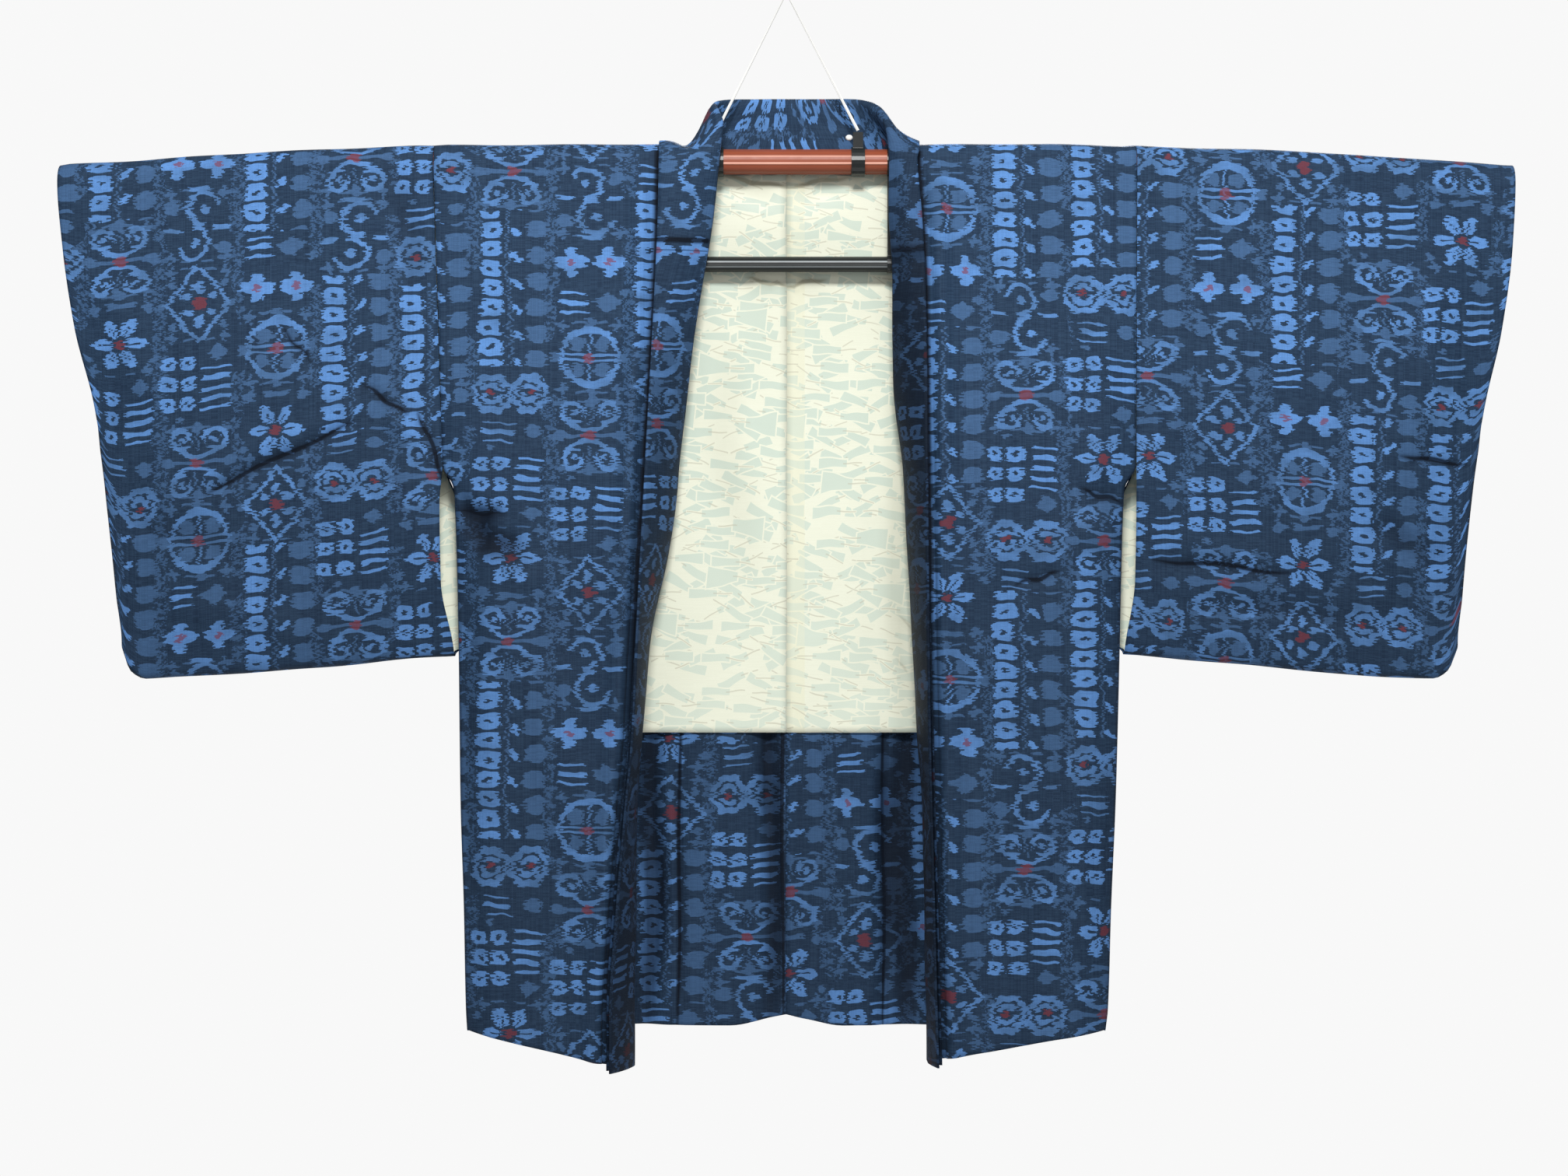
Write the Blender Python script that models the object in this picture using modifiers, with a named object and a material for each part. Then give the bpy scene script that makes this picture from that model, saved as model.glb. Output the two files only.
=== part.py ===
"""Haori jacket hanging open on a two-bar kimono hanger.

Metres, +Z up.  The origin is the hang point, the inner top of the hook.  The
front faces -Y, and left and right are those of someone looking at the front.
The jacket hangs on the upper bar, which runs along X through both sleeves.
Each cloth piece is a surface worked out from the tables below and given its
wall by Solidify; tables hold millimetres.
"""
import math
from collections import namedtuple

import bmesh
import bpy
import numpy as np

MM = 0.001

# ---- driving dimensions -------------------------------------------------
GAP = 0.0003                 # open joint between neighbouring pieces

BAR_RADIUS = 0.0112
BAR_Z = -0.206               # height of the upper bar's axis
BAR_HALF = 0.632
BAR_SAG = 0.019              # how far each bar end droops
BAR_STRAIGHT = 0.25          # half length of the straight middle
BAR_REACH = 0.40             # from the straight middle to the cuff
SAG_POWER = 1.6
BAR_STEPS = 8                # lengths of bar on each side of the centre
STEP_POWER = 0.8             # under 1, the lengths grow shorter outward
LOWER_RADIUS = 0.0068
LOWER_Z = -0.2975
LOWER_HALF = 0.200

CLIP_X = (-0.062, 0.064)
CLIP_RADIUS = 0.0132
CLIP_WIDTH = 0.012
LINK_X = (-0.079, 0.093)
RING_WALL = 0.0010
BORE_PLAY = 0.0003
LINK_WIDTH = 0.006
STRAP_SHARE = 0.9            # of the link's width
STRAP_DEPTH = 0.003
STRAP_PLAY = 0.0007          # from a strap's end to the bar's surface
KNUCKLE_SHARE = 0.75         # of the clip's width
KNUCKLE_DEPTH = 0.008
KNUCKLE_HEIGHT = 0.016
KNUCKLE_RISE = 0.005         # centre of the knuckle above the clip ring
CUT_LENGTH = 0.04

WIRE_RADIUS = 0.0015
APEX_Z = -0.055              # where the two wires meet under the hook
HOOK_RADIUS = 0.022          # of the hook's centre line
HOOK_WIRE = 0.002
STEM_LENGTH = 0.006          # below the round part of the hook
HOOK_START = -115            # degrees, at the stem
HOOK_STEP = -23
HOOK_STEPS = 10

SHOULDER_RADIUS = 0.0157     # outer face of the cloth over the bar
BODY_WALL = 0.0020
SLEEVE_WALL = 0.0014
COLLAR_WALL = 0.0016
GUSSET_WALL = 0.0014
LINING_WALL = 0.0010
SEAM_GAP = 0.0011            # from the collar's middle surface to a panel edge
LINING_INSET = 0.0024        # side edge of the lining behind the panel's edge
COLLAR_TURN = 0.0025         # radius of the collar's long fold
COLLAR_BULGE = 0.003         # fullness of the band down the fronts
NECK_HOLLOW = (0.007, 0.004)  # hollow of the band over the shoulder, left and right
NECK_LIFT = 0.0002
GUSSET_CLEAR = 0.003         # gusset hem above the back hem
EDGE_SHARE = 0.2             # of a panel's width, where it rounds to its side edge
BACK_PLAIN = 0.9             # share of the back beyond which it has no waves
WAVE_FALL = 0.75             # from the shoulder to where the waves are full height
HEM_TURN = 0.85              # share of the back hem where it starts to rise

CORNER_RADIUS = 0.028        # rounded outer bottom corner of a sleeve
CUFF_SHRINK = 3.5            # the lining stands back more at the cuff than at the body
CUFF_OPEN = 0.48             # share of the cuff edge that is open
CUFF_FOLD = 0.004            # how far the shut part of the cuff stands out
LINING_SHRINK = 0.0012       # sleeve lining behind the sleeve's edges

# ---- sections -----------------------------------------------------------
# One row a level.  x columns are distances from the centre plane, with a left
# and a right value: seam joins panel and collar, fold is the collar's long
# fold, free its loose edge, side the outer edge of the body.  near is the
# depth of the front panel just before its seam.
Level = namedtuple("Level", "z seam fold free side seam_y fold_y free_y near_y side_y back_y")
LEVELS = (
    Level(-1007, (158.5, 137.0), (137.5, 127.5), (155.0, 133.5), (282, 282), -34, 3, -52, -43, -31, 34),
    Level(-960, (158.5, 136.0), (138.0, 127.5), (155.0, 132.0), (283, 284), -34, 4, -52, -43, -31, 34),
    Level(-870, (153.0, 133.8), (136.6, 126.8), (149.3, 129.9), (285, 287), -34, 8, -51, -42, -29, 33),
    Level(-780, (145.5, 131.5), (135.4, 124.5), (141.6, 127.6), (288, 291), -33, 10, -50, -41, -27, 32),
    Level(-717, (139.0, 130.0), (131.6, 120.2), (135.8, 126.3), (289, 293), -32, 10, -49, -39, -25, 30),
    Level(-640, (134.0, 128.0), (124.8, 116.0), (132.4, 125.4), (290, 295), -31, 9, -47, -36, -23, 28),
    Level(-560, (128.0, 126.0), (107.6, 110.4), (128.5, 124.8), (292, 297), -29, 6, -44, -32, -20, 25),
    Level(-500, (123.5, 123.0), (99.0, 107.0), (125.5, 124.6), (294.5, 299.5), -27, 2, -41, -28, -18, 23),
    Level(-478, (122.0, 122.0), (97.4, 105.6), (124.5, 124.5), (305, 310.4), -26, 0, -40, -27, -17.5, 22),
    Level(-400, (117.0, 120.0), (87.0, 96.3), (120.5, 124.2), (307.5, 310.7), -23, -6, -36, -22, -17, 20),
    Level(-320, (112.0, 117.0), (75.6, 94.5), (116.5, 123.0), (310, 311), -20, -12, -31, -18.5, -16.5, 18.5),
    Level(-260, (110.0, 113.0), (65.9, 92.8), (114.0, 120.3), (312, 311.2), -17.5, -15, -28, -16.6, -16, 17),
    Level(-206, (108.0, 110.0), (60.0, 92.0), (113.0, 116.0), (313.5, 311.4), -14.9, -17, -26, -15.7, -15.7, 15.7),
)
HEM_ROW = 0
ARMHOLE_ROW = 8              # the sleeve seam ends here and the gusset starts
LINING_ROW = 4               # lower edge of the cream lining
BAR_ROW = 12

# Round the neck, a row each 30 degrees over the bar, then three rows along
# the back neckline to the centre seam.  seam_y and seam_z count only there.
Neck = namedtuple("Neck", "angle seam seam_y seam_z fold fold_y fold_z free free_y free_z")
NECK = (
    Neck(30, (106, 109), 0, 0, (58, 91), (-17, -16), (-190, -190), (113, 118), -24, -197),
    Neck(60, (104, 108), 0, 0, (56, 89), (-15, -12), (-174, -175), (113, 118), -18.5, -191),
    Neck(90, (101, 106), 0, 0, (60, 84), (-7, -4), (-161, -164), (112, 116), -4, -188),
    Neck(120, (99, 104), 0, 0, (63, 78), (3, 4), (-153, -156), (107, 111), 10, -187),
    Neck(150, (96, 101), 0, 0, (60, 71), (10, 10), (-149.5, -151.5), (101, 105), 21.5, -192),
    Neck(180, (94, 100), 0, 0, (51, 62), (15, 15), (-148, -149), (94, 99), 28, -199),
    Neck(None, (85, 90), 16.1, -212, (43, 48), (17, 17), (-147.5, -148), (86, 90), 30, -204),
    Neck(None, (44, 46), 17.2, -214, (23, 25), (19.5, 19.5), (-147.5, -147.5), (45, 47), 33, -209),
    Neck(None, (0, 0), 17.7, -214.5, (0, 0), (20, 20), (-147.5, -147.5), (0, 0), 34, -210),
)
SIDE_STEP = 0.004            # side edge's fall a row along the back neckline

FRONT_HEM = ((-0.977, -1.007), (-0.977, -1.002))    # outer, inner: left, right
COLLAR_HEM = (-1.013, -1.008)
BACK_HEM = (-0.981, -0.982, -0.972)                 # side, middle, centre seam

# Edges of the sleeves by height, left and right.
Edge = namedtuple("Edge", "z cuff front back")
SLEEVE_EDGES = (
    Edge(-206, (648, 648), (314.0, 311.9), (314.0, 311.9)),
    Edge(-270, (644, 646), (312.3, 311.7), (312.3, 311.7)),
    Edge(-325, (638, 641), (310.4, 311.5), (310.4, 311.5)),
    Edge(-381, (629, 633), (308.7, 311.3), (308.7, 311.3)),
    Edge(-437, (615, 621), (306.9, 311.1), (306.9, 311.1)),
    Edge(-478, (610, 615), (305.6, 311.0), (305.6, 311.0)),
    Edge(-505, (607, 612), (308.0, 311.0), (299.0, 303.0)),
    Edge(-560, (602, 606), (310.0, 311.0), (296.5, 301.5)),
    Edge(-600, (598, 603), (305.0, 309.5), (295.5, 300.5)),
    Edge(-645, (593, 599), (296.0, 301.0), (295.0, 300.0)),
)
SLEEVE_BOTTOM = ((-0.6415, -0.6655), (-0.6400, -0.6660))   # body side, cuff side

# Half the depth of a sleeve down its length: at the body, middle and cuff.
Depth = namedtuple("Depth", "drop body middle cuff")
SLEEVE_DEPTH = (
    Depth(0.00, 15.7, 15.7, 15.7),
    Depth(0.14, 16.0, 15.8, 13.5),
    Depth(0.32, 16.5, 17.0, 11.0),
    Depth(0.48, 17.0, 18.0, 6.5),
    Depth(0.625, 17.5, 18.0, 5.5),
    Depth(0.70, 17.0, 17.0, 5.2),
    Depth(0.86, 13.0, 13.0, 5.0),
    Depth(1.00, 6.0, 6.0, 4.5),
)
SLEEVE_COLUMNS = (0.0, 0.2, 0.42, 0.64, 0.82, 0.93, 0.975, 1.0)
BOTTOM_FOLD = ((0.72, 0.55), (0.0, 1.0), (-0.72, 0.55))    # depth, drop shares

BODY_COLUMNS = (0.0, 0.07, 0.2, 0.36, 0.52, 0.68, 0.82, 0.93, 1.0)
ARC_STEPS = 6

# Soft upright waves of the body cloth, by face: height, length and phase.
Wave = namedtuple("Wave", "height length phase")
FRONT_WAVE = Wave(0.0022, 0.105, 0.6)
BACK_WAVE = Wave(0.0050, 0.118, 1.9)
GUSSET_BULGE = 0.0022

Paint = namedtuple("Paint", "colour rough metal")
KASURI = Paint((0.030, 0.060, 0.130, 1), 0.75, 0.0)
CREAM = Paint((0.80, 0.80, 0.66, 1), 0.55, 0.0)
TERRACOTTA = Paint((0.45, 0.11, 0.05, 1), 0.30, 0.0)
BLACK = Paint((0.012, 0.012, 0.013, 1), 0.35, 0.0)
WHITE = Paint((0.80, 0.80, 0.78, 1), 0.40, 0.0)


# ---- helpers ------------------------------------------------------------
def material(name, paint):
    """A plain Principled material."""
    mat = bpy.data.materials.new(name)
    mat.use_nodes = True
    shader = mat.node_tree.nodes["Principled BSDF"]
    shader.inputs["Base Color"].default_value = paint.colour
    shader.inputs["Roughness"].default_value = paint.rough
    shader.inputs["Metallic"].default_value = paint.metal
    return mat


def add_object(name, mesh, collection, paint):
    """Link a mesh as a named object with its own material."""
    obj = bpy.data.objects.new(name, mesh)
    collection.objects.link(obj)
    mesh.materials.append(material(name, paint))
    return obj


def surface(points, close=False):
    """Mesh of a grid of points, rows by columns; close joins last row to first."""
    rows, columns = points.shape[:2]
    verts = [tuple(p) for p in points.reshape(-1, 3)]
    faces = []
    for r in range(rows if close else rows - 1):
        below = (r + 1) % rows
        for c in range(columns - 1):
            faces.append((r * columns + c, r * columns + c + 1,
                          below * columns + c + 1, below * columns + c))
    return verts, faces


def cloth(name, verts, faces, wall, collection, paint, offset=-1.0):
    """An open surface given a wall; offset -1 grows it against its normals."""
    mesh = bpy.data.meshes.new(name)
    mesh.from_pydata(verts, [], faces)
    mesh.shade_smooth()
    obj = add_object(name, mesh, collection, paint)
    solid = obj.modifiers.new("wall", "SOLIDIFY")
    solid.thickness = wall
    solid.offset = offset
    solid.use_even_offset = True
    solid.use_quality_normals = True
    return obj


def offset_grid(points, distance, close=False):
    """Grid moved along its own normals, found from neighbouring points."""
    if close:
        down = np.roll(points, -1, axis=0) - np.roll(points, 1, axis=0)
    else:
        down = np.gradient(points, axis=0)
    across = np.gradient(points, axis=1)
    normal = np.cross(across, down)
    normal /= np.linalg.norm(normal, axis=2, keepdims=True)
    return points + normal * distance


def table(rows, key, column, side, at):
    """Value of a table's column at a key, straight between rows."""
    keys = [getattr(row, key) for row in rows]
    values = []
    for row in rows:
        value = getattr(row, column)
        values.append(value[side] if isinstance(value, tuple) else value)
    if keys[0] > keys[-1]:
        keys.reverse()
        values.reverse()
    return float(np.interp(at, keys, values))


def sag(x):
    """Droop of the bar, and of the cloth over it, at a distance from centre."""
    beyond = max(0.0, abs(x) - BAR_STRAIGHT) / BAR_REACH
    return BAR_SAG * beyond ** SAG_POWER


def wave(shape, x, z):
    """Upright wave that grows from nothing at the shoulder to the hem."""
    grow = min(1.0, max(0.0, (BAR_Z - z) / WAVE_FALL))
    return shape.height * grow * math.sin(2 * math.pi * x / shape.length + shape.phase)


# ---- stations: one for each row of a body panel and each collar section --
Station = namedtuple("Station", "seam fold free side angle level")


def front_stations(side):
    """From the front hem up to the bar."""
    sign = (-1, 1)[side]
    found = []
    for index, row in enumerate(LEVELS):
        z = row.z * MM
        outer, inner = (FRONT_HEM[side] if index == HEM_ROW else (z, z))
        collar_z = COLLAR_HEM[side] if index == HEM_ROW else z
        found.append(Station(
            np.array((sign * row.seam[side] * MM, row.seam_y * MM, inner)),
            np.array((sign * row.fold[side] * MM, row.fold_y * MM, collar_z)),
            np.array((sign * row.free[side] * MM, row.free_y * MM, collar_z)),
            np.array((sign * row.side[side] * MM, row.side_y * MM, outer)),
            None, row))
    return found


def neck_stations(side):
    """Over the bar and along the back neckline to the centre seam."""
    sign = (-1, 1)[side]
    side_x = sign * LEVELS[BAR_ROW].side[side] * MM
    side_z = BAR_Z - sag(side_x)
    found = []
    steps = 0
    for row in NECK:
        if row.angle is None:
            steps += 1
            seam = np.array((sign * row.seam[side], row.seam_y, row.seam_z)) * MM
            outer = np.array((side_x, SHOULDER_RADIUS, side_z - steps * SIDE_STEP))
        else:
            turn = math.radians(row.angle)
            middle = SHOULDER_RADIUS - COLLAR_WALL / 2
            seam = np.array((sign * row.seam[side] * MM, -middle * math.cos(turn),
                             BAR_Z + middle * math.sin(turn)))
            outer = np.array((side_x, -SHOULDER_RADIUS * math.cos(turn),
                              side_z + SHOULDER_RADIUS * math.sin(turn)))
        found.append(Station(
            seam,
            np.array((sign * row.fold[side], row.fold_y[side], row.fold_z[side])) * MM,
            np.array((sign * row.free[side], row.free_y, row.free_z)) * MM,
            outer, row.angle, None))
    return found


# ---- body panels --------------------------------------------------------
def front_row(station, side):
    """Front panel from its side edge to just short of the collar seam."""
    row = station.level
    near = np.array((station.seam[0], row.near_y * MM, station.seam[2]))
    points = []
    for share in BODY_COLUMNS:
        flat = station.side + (near - station.side) * share
        rise = math.sin(min(1.0, share / EDGE_SHARE) * math.pi / 2)
        flat[1] = station.side[1] + (row.near_y * MM - station.side[1]) * rise
        if share == 1.0:
            flat = station.seam.copy()
            flat[0] += math.copysign(SEAM_GAP, flat[0])
        elif share > 0:
            flat[1] += wave(FRONT_WAVE, flat[0], flat[2]) * math.sin(math.pi * share)
        points.append(flat)
    return points


def neck_row(station):
    """Panel row over the bar or along the back neckline."""
    inner = station.seam.copy()
    toward = station.side - station.seam
    if station.angle is None:
        inner += np.array((math.copysign(SEAM_GAP, toward[0]), BODY_WALL / 2 - NECK_LIFT, -SEAM_GAP))
    else:
        inner[0] += math.copysign(SEAM_GAP, toward[0])
    points = []
    for share in BODY_COLUMNS:
        point = station.side + (inner - station.side) * share
        if station.angle is not None:
            turn = math.radians(station.angle)
            point[1] = -SHOULDER_RADIUS * math.cos(turn)
            point[2] = BAR_Z - sag(point[0]) + SHOULDER_RADIUS * math.sin(turn)
        points.append(point)
    return points


def back_row(index, side):
    """Back panel from its side edge to the centre seam."""
    row = LEVELS[index]
    sign = (-1, 1)[side]
    points = []
    for share in BODY_COLUMNS:
        x = row.side[side] * MM * (1 - share) + GAP / 2 * share
        z = row.z * MM
        if index == HEM_ROW:
            z = float(np.interp(share, (0, HEM_TURN, 1), BACK_HEM))
        edge = math.sin(min(1.0, share / EDGE_SHARE) * math.pi / 2)
        y = (-row.side_y + (row.back_y + row.side_y) * edge) * MM
        if 0 < share < BACK_PLAIN:
            y += wave(BACK_WAVE, sign * x, z) * math.sqrt(math.sin(math.pi * share / BACK_PLAIN))
        points.append(np.array((sign * x, y, z)))
    return points


def body_grid(side):
    """Outer face of one body panel, front hem over the shoulder to back hem."""
    rows = [front_row(s, side) for s in front_stations(side)]
    rows += [neck_row(s) for s in neck_stations(side)]
    rows += [back_row(i, side) for i in range(BAR_ROW - 1, -1, -1)]
    grid = np.array(rows)
    return grid if side == 0 else grid[:, ::-1]


def build_body(side, collection):
    """A body panel and the cream lining inside its upper part."""
    word = ("left", "right")[side]
    grid = body_grid(side)
    verts, faces = surface(grid)
    cloth(word + "_body", verts, faces, BODY_WALL, collection, KASURI)

    last = len(grid) - LINING_ROW
    inner = offset_grid(grid, -(BODY_WALL + GAP))[LINING_ROW:last]
    outer_column = 0 if side == 0 else -1
    inner[:, outer_column, 0] -= math.copysign(LINING_INSET, inner[0, outer_column, 0])
    verts, faces = surface(inner)
    cloth(word + "_lining", verts, faces, LINING_WALL, collection, CREAM)


def build_gusset(side, collection):
    """Wedge between front and back, from the armhole down to the hem."""
    sign = (-1, 1)[side]
    inset = BODY_WALL + 2 * GAP
    rows = []
    for index in range(HEM_ROW, ARMHOLE_ROW + 1):
        row = LEVELS[index]
        z = BACK_HEM[0] + GUSSET_CLEAR if index == HEM_ROW else row.z * MM
        x = row.side[side] * MM
        depth = -row.side_y * MM - inset
        points = []
        for share in (-1.0, -0.5, 0.5, 1.0):
            out = GUSSET_BULGE * (1 - share * share)
            points.append((sign * (x + out), depth * share, z))
        rows.append(points if side == 1 else points[::-1])
    verts, faces = surface(np.array(rows))
    cloth(("left", "right")[side] + "_gusset", verts, faces, GUSSET_WALL, collection, KASURI)


# ---- collar -------------------------------------------------------------
def collar_section(station, bulge):
    """Band folded double: seam, up to the long fold, and back to its free edge."""
    seam, fold, free = station.seam.copy(), station.fold, station.free
    if station.level is not None:
        seam[2] = fold[2]
    along = fold - (seam + free) / 2
    along /= np.linalg.norm(along)
    across = free - seam
    across -= along * across.dot(along)
    across /= np.linalg.norm(across)
    centre = fold - along * COLLAR_TURN
    points = []
    inner_end = centre - across * COLLAR_TURN
    outer_end = centre + across * COLLAR_TURN
    for share in (0.0, 0.3, 0.65):
        lift = across * bulge * 4 * share * (1 - share)
        points.append(seam + (inner_end - seam) * share + lift)
    for step in range(5):
        turn = math.pi * step / 4
        points.append(centre - across * COLLAR_TURN * math.cos(turn)
                      + along * COLLAR_TURN * math.sin(turn))
    for share in (0.35, 0.7, 1.0):
        lift = across * bulge * 4 * share * (1 - share)
        points.append(outer_end + (free - outer_end) * share + lift)
    return points


def collar_rows():
    """Sections from the left hem round the neck to the right hem."""
    rows = []
    sides = (front_stations(0) + neck_stations(0), front_stations(1) + neck_stations(1))
    for side, stations in enumerate(sides):
        sections = []
        for station in stations:
            bulge = COLLAR_BULGE
            if station.angle is not None:
                bulge = -NECK_HOLLOW[side] * math.sin(math.radians(station.angle)) ** 3
            sections.append(collar_section(station, bulge))
        rows += sections if side == 0 else sections[-2::-1]
    return rows


def build_collar(collection):
    """One band from the left hem round the neck to the right hem."""
    verts, faces = surface(np.array(collar_rows()))
    cloth("collar", verts, faces, COLLAR_WALL, collection, KASURI, offset=0.0)


# ---- sleeves ------------------------------------------------------------
def sleeve_ring(side, share, shrink):
    """Closed ring of a sleeve, from the top down the front and up the back."""
    sign = (-1, 1)[side]
    drops = [row.drop for row in SLEEVE_DEPTH]
    start, end = SLEEVE_BOTTOM[side]
    length = -(start + (end - start) * share) + BAR_Z

    def place(drop, face):
        nominal = (BAR_Z - drop * length) / MM
        column = ("front", "back")[face]
        body = table(SLEEVE_EDGES, "z", column, side, nominal) * MM
        cuff = table(SLEEVE_EDGES, "z", "cuff", side, nominal) * MM
        body += shrink
        cuff -= shrink * CUFF_SHRINK
        x = body + (cuff - body) * share
        to_cuff = (1 - share) * (cuff - body)
        rise = 0.0
        if to_cuff < CORNER_RADIUS:
            rise = CORNER_RADIUS - math.sqrt(CORNER_RADIUS ** 2 - (CORNER_RADIUS - to_cuff) ** 2)
        top = BAR_Z - sag(x)
        bottom = start + (end - start) * share + rise
        z = top + (bottom - top) * drop
        body_d = table(SLEEVE_DEPTH, "drop", "body", side, drop)
        middle_d = table(SLEEVE_DEPTH, "drop", "middle", side, drop)
        cuff_d = table(SLEEVE_DEPTH, "drop", "cuff", side, drop)
        depth = float(np.interp(share, (0, 0.2, 0.75, 1), (body_d, middle_d, middle_d, cuff_d))) * MM
        return sign * x, depth, z

    ring = []
    for step in range(ARC_STEPS, -1, -1):
        turn = math.pi * step / ARC_STEPS
        face = 1 if step > ARC_STEPS / 2 else 0
        x, depth, z = place(0.0, face)
        ring.append((x, -depth * math.cos(turn), z + depth * math.sin(turn)))
    for drop in drops[1:]:
        x, depth, z = place(drop, 0)
        ring.append((x, -depth, z))
    fold_x, fold_depth, fold_z = place(1.0, 0)
    back_x = place(1.0, 1)[0]
    for depth_share, drop_share in BOTTOM_FOLD:
        x = fold_x + (back_x - fold_x) * (1 - depth_share) / 2
        ring.append((x, -fold_depth * depth_share, fold_z - fold_depth * drop_share))
    for drop in drops[:0:-1]:
        x, depth, z = place(drop, 1)
        ring.append((x, depth, z))
    return ring


def sleeve_surface(side, inward, shrink):
    """Tube along X, closed below the cuff opening; inward moves it inside."""
    columns = [sleeve_ring(side, share, shrink) for share in SLEEVE_COLUMNS]
    grid = np.array(columns).transpose(1, 0, 2)
    if side == 1:
        grid = grid[:, ::-1]
    grid = offset_grid(grid, inward, close=True)
    verts, faces = surface(grid, close=True)
    rows, count = grid.shape[:2]
    last = 0 if side == 1 else count - 1
    open_rows = [i for i, row in enumerate(SLEEVE_DEPTH) if row.drop <= CUFF_OPEN]
    first = ARC_STEPS + open_rows[-1]
    bottom = ARC_STEPS + len(SLEEVE_DEPTH) - 1 + 2
    steps = bottom - first
    out = math.copysign(CUFF_FOLD, verts[last][0])
    middles = []
    for step in range(steps):
        front = np.array(verts[(first + step) * count + last])
        back = np.array(verts[(2 * bottom - first - step) * count + last])
        middle = (front + back) / 2
        middle[0] += out
        verts.append(tuple(middle))
        middles.append(len(verts) - 1)
    middles.append(bottom * count + last)
    for step in range(steps):
        front = [(first + step) * count + last, (first + step + 1) * count + last]
        back = [(2 * bottom - first - step) * count + last,
                (2 * bottom - first - step - 1) * count + last]
        one = [front[0], front[1], middles[step + 1], middles[step]]
        two = [middles[step], middles[step + 1], back[1], back[0]]
        for face in (one, two):
            face = list(dict.fromkeys(face))
            faces.append(tuple(face[::-1] if side == 0 else face))
    return verts, faces


def build_sleeve(side, collection):
    """A sleeve and the cream lining inside it."""
    word = ("left", "right")[side]
    verts, faces = sleeve_surface(side, 0.0, 0.0)
    cloth(word + "_sleeve", verts, faces, SLEEVE_WALL, collection, KASURI)
    verts, faces = sleeve_surface(side, -(SLEEVE_WALL + 3 * GAP), LINING_SHRINK)
    cloth(word + "_sleeve_lining", verts, faces, LINING_WALL, collection, CREAM)


# ---- hanger -------------------------------------------------------------
def tube(name, path, radius, collection, paint, sides=1):
    """Round rod along a path of points, as a mesh with welded caps."""
    curve = bpy.data.curves.new(name, "CURVE")
    curve.dimensions = "3D"
    curve.bevel_depth = radius
    curve.bevel_resolution = sides
    curve.use_fill_caps = True
    spline = curve.splines.new("POLY")
    spline.points.add(len(path) - 1)
    for point, place in zip(spline.points, path):
        point.co = (*place, 1)
    source = bpy.data.objects.new(name + "_path", curve)
    collection.objects.link(source)
    evaluated = source.evaluated_get(bpy.context.evaluated_depsgraph_get())
    mesh = bpy.data.meshes.new_from_object(evaluated)
    bpy.data.objects.remove(source)
    bpy.data.curves.remove(curve)
    bm = bmesh.new()
    bm.from_mesh(mesh)
    bmesh.ops.remove_doubles(bm, verts=bm.verts, dist=0.00005)
    bm.to_mesh(mesh)
    bm.free()
    mesh.materials.clear()
    mesh.shade_smooth()
    return add_object(name, mesh, collection, paint)


def rod(name, radius, width, place, collection, paint, sides=24):
    """Cylinder along X."""
    bpy.ops.mesh.primitive_cylinder_add(vertices=sides, radius=radius, depth=width,
                                        location=place, rotation=(0, math.pi / 2, 0))
    obj = bpy.context.object
    obj.name = name
    for holder in list(obj.users_collection):
        holder.objects.unlink(obj)
    collection.objects.link(obj)
    obj.data.materials.append(material(name, paint))
    return obj


def box(name, size, place, collection, paint):
    """Box of a full size at a place."""
    bpy.ops.mesh.primitive_cube_add(size=1, location=place)
    obj = bpy.context.object
    obj.name = name
    obj.scale = size
    bpy.ops.object.transform_apply(location=False, rotation=False, scale=True)
    for holder in list(obj.users_collection):
        holder.objects.unlink(obj)
    collection.objects.link(obj)
    obj.data.materials.append(material(name, paint))
    return obj


def combine(target, tool, operation):
    """Exact Boolean of a hidden tool on a target."""
    modifier = target.modifiers.new(operation.lower(), "BOOLEAN")
    modifier.operation = operation
    modifier.solver = "EXACT"
    modifier.object = tool
    tool.hide_render = True
    tool.display_type = "WIRE"


def build_bars(collection):
    """Drooping upper bar and straight lower bar."""
    path = []
    for step in range(-BAR_STEPS, BAR_STEPS + 1):
        x = BAR_HALF * math.copysign(abs(step / BAR_STEPS) ** STEP_POWER, step)
        path.append((x, 0, BAR_Z - sag(x)))
    tube("upper_bar", path, BAR_RADIUS, collection, TERRACOTTA, sides=2)
    ends = [(x, 0, LOWER_Z) for x in (-LOWER_HALF, LOWER_HALF)]
    tube("lower_bar", ends, LOWER_RADIUS, collection, BLACK, sides=2)


def build_clips(collection, cutters):
    """Clip rings on the upper bar that hold the wires."""
    for word, x in zip(("left", "right"), CLIP_X):
        clip = rod(word + "_clip", CLIP_RADIUS, CLIP_WIDTH, (x, 0, BAR_Z), collection, BLACK)
        knuckle = box(word + "_knuckle", (CLIP_WIDTH * KNUCKLE_SHARE, KNUCKLE_DEPTH, KNUCKLE_HEIGHT),
                      (x, 0, BAR_Z + CLIP_RADIUS + KNUCKLE_RISE), cutters, BLACK)
        bore = rod(word + "_bore", BAR_RADIUS + BORE_PLAY, CUT_LENGTH, (x, 0, BAR_Z), cutters, BLACK)
        combine(clip, knuckle, "UNION")
        combine(clip, bore, "DIFFERENCE")


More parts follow.
